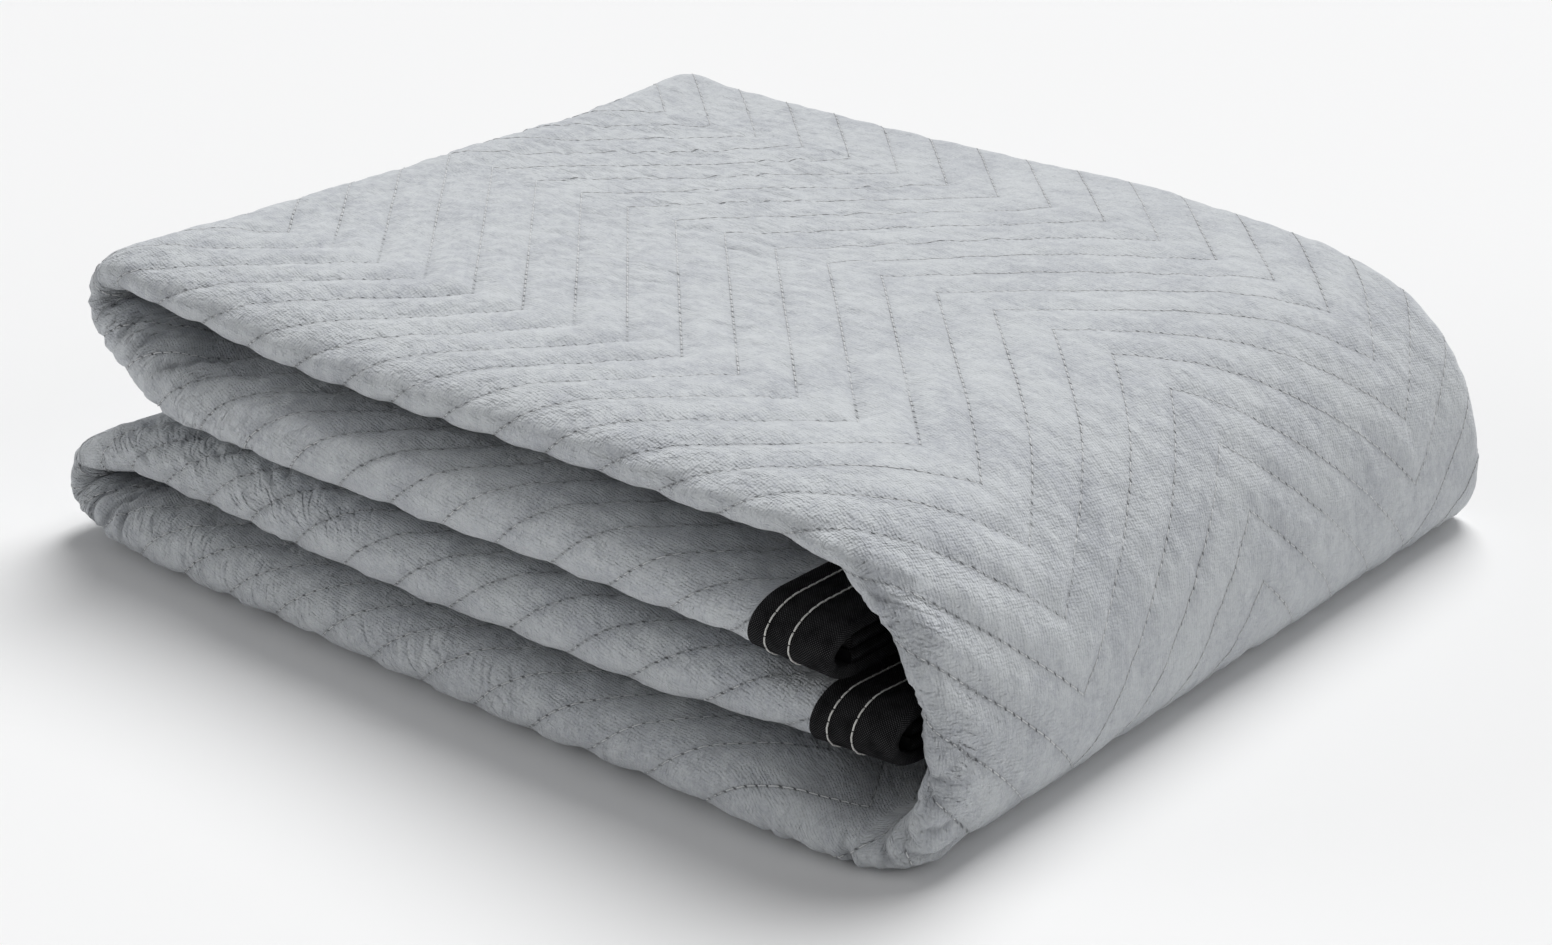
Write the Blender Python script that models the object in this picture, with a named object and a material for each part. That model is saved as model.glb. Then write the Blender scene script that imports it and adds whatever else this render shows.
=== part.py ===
"""A quilted moving blanket, folded small and laid flat on a surface.

The blanket is one quilted cloth whose two short ends are bound in black tape.
It is folded twice over.  First its long edges are brought to the middle and the
doubled cloth is closed on itself, which makes a strip four plies thick.  Then
that strip is folded into four layers: the top layer runs on round the right
side and under the stack, so both bound ends lie inside on the right.

X runs along the layers, Y across them and Z up.  Metres.
"""

from collections import namedtuple

import bpy
import numpy as np

for item in list(bpy.data.objects):
    bpy.data.objects.remove(item, do_unlink=True)

# Cloth and tape.
PLIES = 4
PLY_SHARE = 0.215  # cloth of one ply, as a share of the strip's thickness
PITCH_SHARE = (1.0 - PLY_SHARE) / (PLIES - 1)  # from one ply's middle to the next
TAPE_WIDTH = 0.0370  # of the binding, on each face of the cloth
TAPE_THICK = 0.0008
TAPE_GAP = 0.0003
TAPE_EASE = 0.0040  # beyond the tape, over which the cloth gets back its thickness
TAPED_SHARE = 0.13  # cloth that the tape presses flat, as a share of the strip

# Quilting: rows of zigzag stitches that run across the blanket.
ROW_PITCH = 0.0322  # from one stitched row to the next, along the strip
LEG = 0.1368  # of the zigzag, across the strip
POINT_Y = 0.0146  # where the zigzag's points lie
GROOVE = 0.0022
STEP_S = ROW_PITCH / 2
STEP_Y = LEG / 8
QUILT_FADE = 0.03  # over which the raised quilting begins and ends

# Folds across the strip.
EDGE_INSET = 0.0050  # free long edges, short of the near fold's start
BACK_BEND = 0.0065  # reach of the two folds at the back
SHOULDER_FROM = 0.1150  # behind this the right shoulder sinks
LIP_FROM = -0.1150  # in front of this the near lip waves
PLAIN_Y = np.array([LIP_FROM, SHOULDER_FROM])  # points across an unquilted ply
BEND_POINTS = 4  # round each fold at the back
NOSE_POINTS = 9  # round the near fold
TOP_STEPS = np.arange(11, -12, -1)  # of the zigzag across the outermost ply
LIP_REACH = 0.09
SHOULDER_REACH = 0.10

# The strip's middle line, from one bound end to the other.
# x, z: its place.  thick: all four plies.  near, far: the strip's two edges.
# nose: how far the rounded near fold reaches from its flat plies.
# lip: how far the near edge lifts.  back_x, back_z: shift of the back edge.
# swell: how far the outermost ply stands off the others.
Row = namedtuple("Row", "name x z thick near far nose lip back_x back_z swell")
ROWS = [
    Row("upper bound end", 0.2140, 0.0765, 0.0245, -0.2225, 0.2185, 0.018, 0, 0, -0.004, 0),
    Row("layer 2, at the tape", 0.1740, 0.0790, 0.0245, -0.2240, 0.2185, 0.018, 0, 0, -0.004, 0),
    Row("layer 2, right", 0.1200, 0.0820, 0.0300, -0.2275, 0.2200, 0.018, 0, 0, 0, 0),
    Row("layer 2, middle", 0.0000, 0.0818, 0.0310, -0.2290, 0.2205, 0.018, 0, 0, 0, 0),
    Row("layer 2, left", -0.1200, 0.0820, 0.0300, -0.2270, 0.2200, 0.018, 0, -0.005, 0, 0),
    Row("upper turn, start", -0.1850, 0.0850, 0.0275, -0.2230, 0.2190, 0.018, 0, -0.012, 0, 0),
    Row("upper turn, low", -0.2130, 0.0940, 0.0235, -0.2180, 0.2180, 0.018, 0, -0.014, 0, 0),
    Row("upper turn, 1", -0.2350, 0.1015, 0.0215, -0.2140, 0.2170, 0.018, 0, -0.014, 0, 0),
    Row("upper turn, 2", -0.2431, 0.1049, 0.0210, -0.2120, 0.2170, 0.018, 0, -0.014, 0, 0),
    Row("upper turn, 3", -0.2465, 0.1130, 0.0210, -0.2100, 0.2170, 0.018, 0, -0.014, 0, 0),
    Row("upper turn, 4", -0.2431, 0.1211, 0.0210, -0.2090, 0.2170, 0.018, 0, -0.014, 0.001, 0.001),
    Row("upper turn, 5", -0.2350, 0.1245, 0.0215, -0.2080, 0.2170, 0.020, 0, -0.014, 0.002, 0.001),
    Row("upper turn, high", -0.2100, 0.1230, 0.0240, -0.2080, 0.2180, 0.024, 0, -0.010, 0.002, 0),
    Row("top, left", -0.1650, 0.1200, 0.0275, -0.2080, 0.2190, 0.028, 0, -0.005, 0.001, 0),
    Row("top, sag", -0.0900, 0.1185, 0.0290, -0.2080, 0.2200, 0.030, -0.004, 0, 0, 0),
    Row("top, middle", 0.0000, 0.1180, 0.0290, -0.2090, 0.2205, 0.030, -0.002, 0, 0, 0),
    Row("top, right", 0.0800, 0.1180, 0.0280, -0.2110, 0.2205, 0.028, 0.001, 0, 0, 0),
    Row("shoulder, start", 0.1400, 0.1170, 0.0240, -0.2130, 0.2200, 0.024, 0.001, 0, -0.002, 0),
    Row("shoulder", 0.1800, 0.1155, 0.0205, -0.2120, 0.2190, 0.020, 0.003, 0, -0.005, 0),
    Row("shoulder, end", 0.2100, 0.1070, 0.0190, -0.2110, 0.2180, 0.018, 0.004, 0, -0.006, 0),
    Row("wrap, high", 0.2320, 0.0890, 0.0180, -0.2090, 0.2170, 0.016, 0.003, 0, -0.003, 0),
    Row("wrap, middle", 0.2480, 0.0640, 0.0175, -0.2080, 0.2170, 0.016, 0, 0, 0, 0),
    Row("wrap, low", 0.2545, 0.0370, 0.0175, -0.2120, 0.2180, 0.016, 0, 0, 0, 0.001),
    Row("wrap, foot", 0.2528, 0.0195, 0.0160, -0.2220, 0.2180, 0.016, 0, 0, 0, 0.0045),
    Row("wrap, corner", 0.2485, 0.0120, 0.0160, -0.2280, 0.2180, 0.016, 0, 0, 0, 0.0055),
    Row("wrap, under", 0.2390, 0.0087, 0.0178, -0.2340, 0.2180, 0.016, 0, 0, 0, 0),
    Row("layer 4, right", 0.1950, 0.0122, 0.0250, -0.2400, 0.2190, 0.016, 0, 0, 0, 0),
    Row("layer 4, middle", 0.1000, 0.0137, 0.0280, -0.2440, 0.2200, 0.016, 0, 0, 0, 0),
    Row("layer 4, left", -0.1000, 0.0137, 0.0280, -0.2450, 0.2200, 0.016, 0, 0, 0, 0),
    Row("lower turn, start", -0.1850, 0.0137, 0.0280, -0.2430, 0.2190, 0.016, 0, 0, 0, 0),
    Row("lower turn, low", -0.2180, 0.0140, 0.0240, -0.2390, 0.2180, 0.016, 0, -0.003, 0, 0),
    Row("lower turn, 1", -0.2330, 0.0162, 0.0215, -0.2360, 0.2180, 0.016, 0, -0.004, 0, 0),
    Row("lower turn, 2", -0.2413, 0.0196, 0.0205, -0.2340, 0.2180, 0.016, 0, -0.004, 0, 0),
    Row("lower turn, 3", -0.2447, 0.0279, 0.0200, -0.2320, 0.2180, 0.016, 0, -0.004, 0, 0),
    Row("lower turn, 4", -0.2413, 0.0362, 0.0205, -0.2300, 0.2180, 0.016, 0, -0.004, 0, 0),
    Row("lower turn, 5", -0.2330, 0.0396, 0.0215, -0.2300, 0.2180, 0.016, 0, -0.004, 0, 0),
    Row("lower turn, high", -0.2150, 0.0455, 0.0250, -0.2310, 0.2180, 0.016, 0, -0.003, 0, 0),
    Row("layer 3, left", -0.1600, 0.0490, 0.0290, -0.2340, 0.2190, 0.016, 0, 0, 0, 0),
    Row("layer 3, middle", 0.0000, 0.0475, 0.0300, -0.2340, 0.2200, 0.016, 0, 0, 0, 0),
    Row("layer 3, right", 0.1300, 0.0465, 0.0290, -0.2290, 0.2200, 0.016, 0, 0, 0, 0),
    Row("layer 3, at the tape", 0.2000, 0.0430, 0.0255, -0.2190, 0.2185, 0.016, 0, 0, 0, 0),
    Row("lower bound end", 0.2405, 0.0405, 0.0255, -0.2170, 0.2185, 0.016, 0, 0, 0, 0),
]
PATH_SAMPLES = 24  # of the smooth line, from one row to the next

SURFACE_Z = 0.0  # the blanket lies flat on this

# Stations of the mesh: (first row, last row, how many steps between them).
# The top and the wrap are stepped by half a quilting row instead.
RUNS_BEFORE = [
    ("layer 2, at the tape", "layer 2, left", 4),
    ("layer 2, left", "upper turn, low", 3),
    ("upper turn, low", "upper turn, high", 7),
]
RUNS_AFTER = [
    ("wrap, foot", "wrap, under", 4),
    ("wrap, under", "layer 4, right", 2),
    ("layer 4, right", "layer 4, left", 3),
    ("layer 4, left", "lower turn, low", 3),
    ("lower turn, low", "lower turn, high", 7),
    ("lower turn, high", "layer 3, at the tape", 5),
]

# Colour and roughness.
CLOTH_LOOK = ((0.50, 0.53, 0.545, 1.0), 0.95)
TAPE_LOOK = ((0.012, 0.012, 0.014, 1.0), 0.75)


def smooth(t):
    """An even rise from 0 to 1."""
    t = np.clip(t, 0.0, 1.0)
    return t * t * (3.0 - 2.0 * t)


def through(knots, values, at):
    """A smooth curve through values given at knots, read at the places at."""
    step = np.diff(knots)
    slope = np.diff(values, axis=0) / step[:, None]
    inner = (slope[:-1] * step[1:, None] + slope[1:] * step[:-1, None]) / (
        step[1:] + step[:-1]
    )[:, None]
    tangent = np.vstack([slope[:1], inner, slope[-1:]])
    k = np.clip(np.searchsorted(knots, at, side="right") - 1, 0, len(step) - 1)
    h = step[k][:, None]
    t = ((at - knots[k]) / step[k])[:, None]
    start, end = values[k], values[k + 1]
    return (
        (2 * t**3 - 3 * t**2 + 1) * start
        + (t**3 - 2 * t**2 + t) * h * tangent[k]
        + (3 * t**2 - 2 * t**3) * end
        + (t**3 - t**2) * h * tangent[k + 1]
    )


class Strip:
    """The strip's middle line, with its thickness and edges along the way."""

    def __init__(self):
        table = np.array([row[1:] for row in ROWS], dtype=float)
        chord = np.hypot(*np.diff(table[:, :2], axis=0).T)
        self.knots = np.concatenate([[0.0], np.cumsum(chord)])
        self.table = table
        self.names = [row.name for row in ROWS]
        self.fine = np.interp(
            np.arange((len(ROWS) - 1) * PATH_SAMPLES + 1) / PATH_SAMPLES,
            np.arange(len(ROWS)),
            self.knots,
        )
        at = self.values(self.fine)
        normal = self.normals(self.fine)
        outer = at[:, :2] + normal * at[:, 2:3] / 2
        run = np.hypot(*np.diff(outer, axis=0).T)
        self.outer_run = np.concatenate([[0.0], np.cumsum(run)])

    def values(self, s):
        """The columns of ROWS, but the name, at the places s."""
        out = through(self.knots, self.table, np.asarray(s, dtype=float))
        for column in range(2, out.shape[1]):
            out[:, column] = np.interp(s, self.knots, self.table[:, column])
        return out

    def normals(self, s):
        """The direction that faces out of the stack, across the middle line."""
        tiny = 0.0004
        low = np.clip(s - tiny, self.knots[0], self.knots[-1])
        high = np.clip(s + tiny, self.knots[0], self.knots[-1])
        along = self.values(high)[:, :2] - self.values(low)[:, :2]
        along /= np.hypot(*along.T)[:, None]
        return np.column_stack([-along[:, 1], along[:, 0]])

    def place(self, name):
        """Where a named row lies along the strip."""
        return self.knots[self.names.index(name)]

    def outer(self, s):
        """The distance along the strip's outer face, up to the place s."""
        return np.interp(s, self.fine, self.outer_run)

    def from_outer(self, run):
        """The place s at a distance along the outer face."""
        return np.interp(run, self.outer_run, self.fine)


def lay(strip, s, y, h):
    """World points of the strip's section points (y, h) at the places s.

    Nothing reaches below the surface that the blanket lies on.
    """
    at, normal = strip.values(s), strip.normals(s)
    lip = np.clip((LIP_FROM - y) / LIP_REACH, 0.0, 1.0)
    back = np.clip((y - SHOULDER_FROM) / SHOULDER_REACH, 0.0, 1.0)
    swell = at[:, 9:10] * np.clip((h / at[:, 2:3] - 0.2) / 0.08, 0.0, 1.0)
    x = at[:, 0:1] + at[:, 7:8] * back + (h + swell) * normal[:, 0:1]
    z = at[:, 1:2] + at[:, 6:7] * lip + at[:, 8:9] * back + (h + swell) * normal[:, 1:2]
    return np.stack([x, y, np.maximum(z, SURFACE_Z)], axis=-1)


def across(strip, s, face, half, top_y=PLAIN_Y[::-1]):
    """One face of the cloth across the strip, from one free edge to the other.

    face is +1 for the cloth's outer face and -1 for its inner one, and half is
    half the cloth's thickness as a share of the strip's.  top_y lists the
    points across the outermost ply.  Returns the points' y, and their height h
    over the strip's middle, a row for each place s.
    """
    at = strip.values(s)
    thick, near, far, reach = (at[:, k : k + 1] for k in (2, 3, 4, 5))
    one = np.ones_like(thick)
    low, high = PITCH_SHARE / 2 * thick, 1.5 * PITCH_SHARE * thick
    off = face * half * thick
    back = far - BACK_BEND - PLY_SHARE / 2 * thick
    front = near + reach + PLY_SHARE / 2 * thick
    edge = front - EDGE_INSET
    turn = np.linspace(-np.pi / 2, np.pi / 2, BEND_POINTS)[None, :]
    bend = PITCH_SHARE / 2 * thick

    def straight(ys, level, side):
        return ys, level + side * off + 0.0 * ys

    def back_turn(level):
        y = back + (BACK_BEND + off) * np.cos(turn)
        return y, level + (bend + off) * np.sin(turn)

    angle = np.linspace(np.pi / 2, 3 * np.pi / 2, NOSE_POINTS)[None, :]
    fold_y, fold_h = reach * np.cos(angle), high * np.sin(angle)
    lean_y, lean_h = np.cos(angle) / reach, np.sin(angle) / high
    length = np.hypot(lean_y, lean_h)
    plain = one * PLAIN_Y[None, :]
    pieces = [
        straight(np.concatenate([edge, plain], axis=1), low, -1),
        back_turn((low + high) / 2),
        straight(one * top_y[None, :], high, 1),
        (front + fold_y + off * lean_y / length, fold_h + off * lean_h / length),
        straight(plain, -high, -1),
        back_turn(-(low + high) / 2),
        straight(np.concatenate([plain[:, ::-1], edge], axis=1), -low, 1),
    ]
    return (
        np.concatenate([p[0] for p in pieces], axis=1),
        np.concatenate([p[1] for p in pieces], axis=1),
    )


def groove(run, width):
    """How deep the quilting presses in: 0 on a crest, 1 on a stitched row.

    run is the distance along the strip and width the one across it, both over
    the cloth's face.  A row zigzags: it leads by as much as width has turned.
    """
    turned = np.abs((width + LEG) % (2 * LEG) - LEG)
    phase = (run - turned * (ROW_PITCH / 2) / STEP_Y) / ROW_PITCH
    return 0.5 + 0.5 * np.cos(2 * np.pi * phase)


def stations(strip):
    """The places along the strip at which the cloth's rings lie."""
    start = strip.place("upper bound end")
    out = [start, start + TAPE_WIDTH, start + TAPE_WIDTH + TAPE_EASE]

    def coarse(runs):
        for first, last, steps in runs:
            out.extend(np.linspace(strip.place(first), strip.place(last), steps + 1)[1:])

    coarse(RUNS_BEFORE)
    first = strip.outer(strip.place("upper turn, high"))
    last = strip.outer(strip.place("wrap, foot")) - STEP_S / 3
    out.extend(strip.from_outer(np.arange(first + STEP_S, last, STEP_S)))
    out.append(strip.place("wrap, foot"))
    coarse(RUNS_AFTER)
    end = strip.place("lower bound end")
    out += [end - TAPE_WIDTH - TAPE_EASE, end - TAPE_WIDTH, end]
    return np.array(sorted(set(np.round(out, 6))))


def quilted_share(strip, s):
    """1 where the quilting is raised: on the top layer and round the wrap."""
    rise = smooth((s - strip.place("upper turn, low")) / QUILT_FADE)
    fall = smooth((strip.place("layer 4, right") - s) / QUILT_FADE)
    return rise * fall


def cloth_points(strip, s):
    """The cloth's ring at each place s: its outer face, then its inner one."""
    end_run = np.minimum(s - s[0], s[-1] - s)
    taped = 1.0 - smooth((end_run - TAPE_WIDTH) / TAPE_EASE)
    share = (PLY_SHARE + (TAPED_SHARE - PLY_SHARE) * taped)[:, None] / 2
    y, h = across(strip, s, 1, share, POINT_Y + TOP_STEPS * STEP_Y)
    first = 1 + len(PLAIN_Y) + BEND_POINTS
    last = first + len(TOP_STEPS) + NOSE_POINTS
    width = np.zeros_like(y)
    steps = np.hypot(np.diff(y, axis=1), np.diff(h, axis=1))
    width[:, 1:] = np.cumsum(steps, axis=1)
    width -= width[:, first + list(TOP_STEPS).index(0)][:, None]
    run = strip.outer(s) - strip.outer(strip.place("upper turn, high"))
    deep = np.zeros_like(y)
    deep[:, first:last] = groove(run[:, None], width[:, first:last])
    deep *= quilted_share(strip, s)[:, None]
    outer = push_in(strip, s, y, h, deep * GROOVE)
    inner = lay(strip, s, *across(strip, s, -1, share))
    return np.concatenate([outer, inner[:, ::-1]], axis=1), deep


def push_in(strip, s, y, h, depth):
    """World points of the outer face, pressed into the cloth by depth."""
    dy = np.gradient(y, axis=1)
    dh = np.gradient(h, axis=1)
    length = np.maximum(np.hypot(dy, dh), 1e-9)
    return lay(strip, s, y - depth * dh / length, h + depth * dy / length)


def loft(rings, split=False):
    """Triangles of a closed tube of rings, with its two ends filled.

    split says which of its two diagonals each four-sided face is cut along.
    """
    count, size = rings.shape[:2]
    i, j = np.meshgrid(np.arange(count - 1), np.arange(size), indexing="ij")
    k = (j + 1) % size
    a, b = i * size + j, i * size + k
    c, d = (i + 1) * size + k, (i + 1) * size + j
    cut = np.broadcast_to(split, a.shape)[..., None]
    one = np.where(cut, np.stack([a, b, d], -1), np.stack([a, b, c], -1))
    two = np.where(cut, np.stack([b, c, d], -1), np.stack([a, c, d], -1))
    faces = np.concatenate([one.reshape(-1, 3), two.reshape(-1, 3)]).tolist()
    faces.append(list(range(size))[::-1])
    faces.append([(count - 1) * size + j for j in range(size)])
    return faces


def add_solid(name, points, faces, look, collection):
    """A mesh object with a material of its own, shaded smooth."""
    mesh = bpy.data.meshes.new(name)
    mesh.from_pydata(points.reshape(-1, 3).tolist(), [], faces)
    mesh.validate()
    mesh.update()
    mesh.shade_smooth()
    material = bpy.data.materials.new(name)
    material.use_nodes = True
    shader = material.node_tree.nodes["Principled BSDF"]
    shader.inputs["Base Color"].default_value = look[0]
    shader.inputs["Roughness"].default_value = look[1]
    shader.inputs["Metallic"].default_value = 0.0
    mesh.materials.append(material)
    made = bpy.data.objects.new(name, mesh)
    collection.objects.link(made)
    return made


def binding_points(strip, end, inward):
    """A tape folded round a bound end, along every ply of the section.

    end is the place of the cloth's cut edge, and inward is +1 or -1, the way
    from it into the cloth.
    """
    cover = TAPE_GAP + TAPE_THICK
    tip = end - inward * cover
    lining = end - inward * TAPE_GAP
    rim = end + inward * TAPE_WIDTH
    cloth = TAPED_SHARE / 2
    thick = strip.values(np.array([end]))[0, 2]
    under = cloth + TAPE_GAP / thick
    over = cloth + cover / thick
    profile = [
        (rim, 1, over),
        (tip, 1, over),
        (tip, -1, over),
        (rim, -1, over),
        (rim, -1, under),
        (lining, -1, under),
        (lining, 1, under),
        (rim, 1, under),
    ]
    rings = []
    for place, face, share in profile:
        s = np.array([place])
        rings.append(lay_end(strip, s, *across(strip, s, face, share))[0])
    return np.stack(rings, axis=1)


def lay_end(strip, s, y, h):
    """lay(), run on straight for a place just past the strip's end."""
    inside = np.clip(s, strip.knots[0], strip.knots[-1])
    points = lay(strip, inside, y, h)
    normal = strip.normals(inside)
    past = (s - inside)[:, None]
    points[..., 0] += past * normal[:, 1:2]
    points[..., 2] -= past * normal[:, 0:1]
    return points


def face_out(points, faces):
    """The faces, turned round if they enclose a negative volume."""
    flat = points.reshape(-1, 3)
    total = 0.0
    for face in faces:
        corner = flat[face]
        fan = np.cross(corner[1:-1] - corner[0], corner[2:] - corner[0])
        total += float(fan.sum(axis=0) @ corner.mean(axis=0)) / 6.0
    if total < 0:
        return [list(reversed(face)) for face in faces]
    return faces


def build():
    """The cloth and its two bindings, with the box's middle over the origin."""
    collection = bpy.data.collections.new("folded_moving_blanket")
    bpy.context.scene.collection.children.link(collection)
    strip = Strip()
    s = stations(strip)
    cloth, deep = cloth_points(strip, s)
    dip = np.zeros(cloth.shape[:2])
    dip[:, : deep.shape[1]] = deep
    turned = np.roll(dip, -1, axis=1)
    split = dip[1:] + turned[:-1] > dip[:-1] + turned[1:] + 1e-6
    plain = dip[1:] + dip[:-1] + turned[1:] + turned[:-1] == 0
    forward = np.roll(cloth[:-1, :, 1], -1, axis=1) < cloth[:-1, :, 1]
    split = np.where(plain, forward, split)
    solids = {"quilted_cloth": (cloth, loft(cloth, split))}
    ends = {
        "end_binding_upper": (strip.knots[0], 1.0),
        "end_binding_lower": (strip.knots[-1], -1.0),
    }
    for name, (end, inward) in ends.items():
        points = binding_points(strip, end, inward)
        solids[name] = (points, loft(points))
    box = np.concatenate([p.reshape(-1, 3) for p, _ in solids.values()])
    middle = (box.min(axis=0) + box.max(axis=0)) / 2
    middle[2] = box[:, 2].min()
    for name, (points, faces) in solids.items():
        look = CLOTH_LOOK if name == "quilted_cloth" else TAPE_LOOK
        points = points - middle
        add_solid(name, points, face_out(points, faces), look, collection)


build()
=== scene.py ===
# %% [markdown]
# # A quilted moving blanket, folded small
#
# A moving blanket is two faces of soft grey felt with padding between them, sewn together in zigzag
# rows. Black tape binds its ends. Folded up, one strip four plies thick runs back and forth through
# the stack, so the whole blanket can be made as one section carried along one path.

import bpy
import numpy as np
from mathutils import Matrix


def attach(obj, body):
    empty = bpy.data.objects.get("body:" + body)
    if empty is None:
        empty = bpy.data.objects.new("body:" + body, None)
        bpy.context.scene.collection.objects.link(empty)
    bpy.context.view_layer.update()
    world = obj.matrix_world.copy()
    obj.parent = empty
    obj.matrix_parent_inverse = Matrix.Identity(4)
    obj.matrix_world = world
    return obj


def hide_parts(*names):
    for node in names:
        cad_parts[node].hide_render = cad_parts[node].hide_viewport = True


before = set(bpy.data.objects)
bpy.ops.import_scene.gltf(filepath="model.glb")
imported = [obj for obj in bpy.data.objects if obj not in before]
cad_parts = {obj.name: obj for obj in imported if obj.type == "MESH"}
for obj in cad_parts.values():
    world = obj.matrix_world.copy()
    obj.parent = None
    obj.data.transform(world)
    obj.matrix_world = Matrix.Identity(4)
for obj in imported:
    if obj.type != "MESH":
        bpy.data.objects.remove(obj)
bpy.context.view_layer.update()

# %% [markdown]
# ## The strip
#
# The long edges are folded to the middle and the doubled cloth is closed on itself. That gives a
# strip of four plies. A table of places along the strip says where it runs, how thick it is and
# where its two edges lie. Any place between two rows is read off a smooth curve. A few columns add
# what makes the stack uneven: a lifted near lip, a far shoulder that shifts, and a swollen outer ply.

# %% Sizes of the cloth and the tape, in metres
PLIES = 4
PLY_SHARE = 0.215  # cloth of one ply, as a share of the strip's thickness
PITCH_SHARE = (1.0 - PLY_SHARE) / (PLIES - 1)  # from one ply's middle to the next
TAPE_WIDTH = 0.0370
TAPE_THICK = 0.0008
TAPE_GAP = 0.0003
TAPE_EASE = 0.0040
TAPED_SHARE = 0.13  # cloth that the tape presses flat, as a share of the strip
MIDDLE = (-0.00105, -0.01289)  # of the stack's box, in the table's own X and Y

EDGE_INSET = 0.0050  # how far the cloth's free edges reach into the near fold
BACK_BEND = 0.0065  # reach of a back fold, to the middle of its ply
SHOULDER_FROM = 0.1150  # y where the far shoulder starts to shift
SHOULDER_REACH = 0.10
LIP_FROM = -0.1150  # y where the near lip starts to lift
LIP_REACH = 0.09
SWELL_SPAN = 0.8  # share of the strip's thickness over which a swell grows
SURFACE_Z = 0.0

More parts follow.
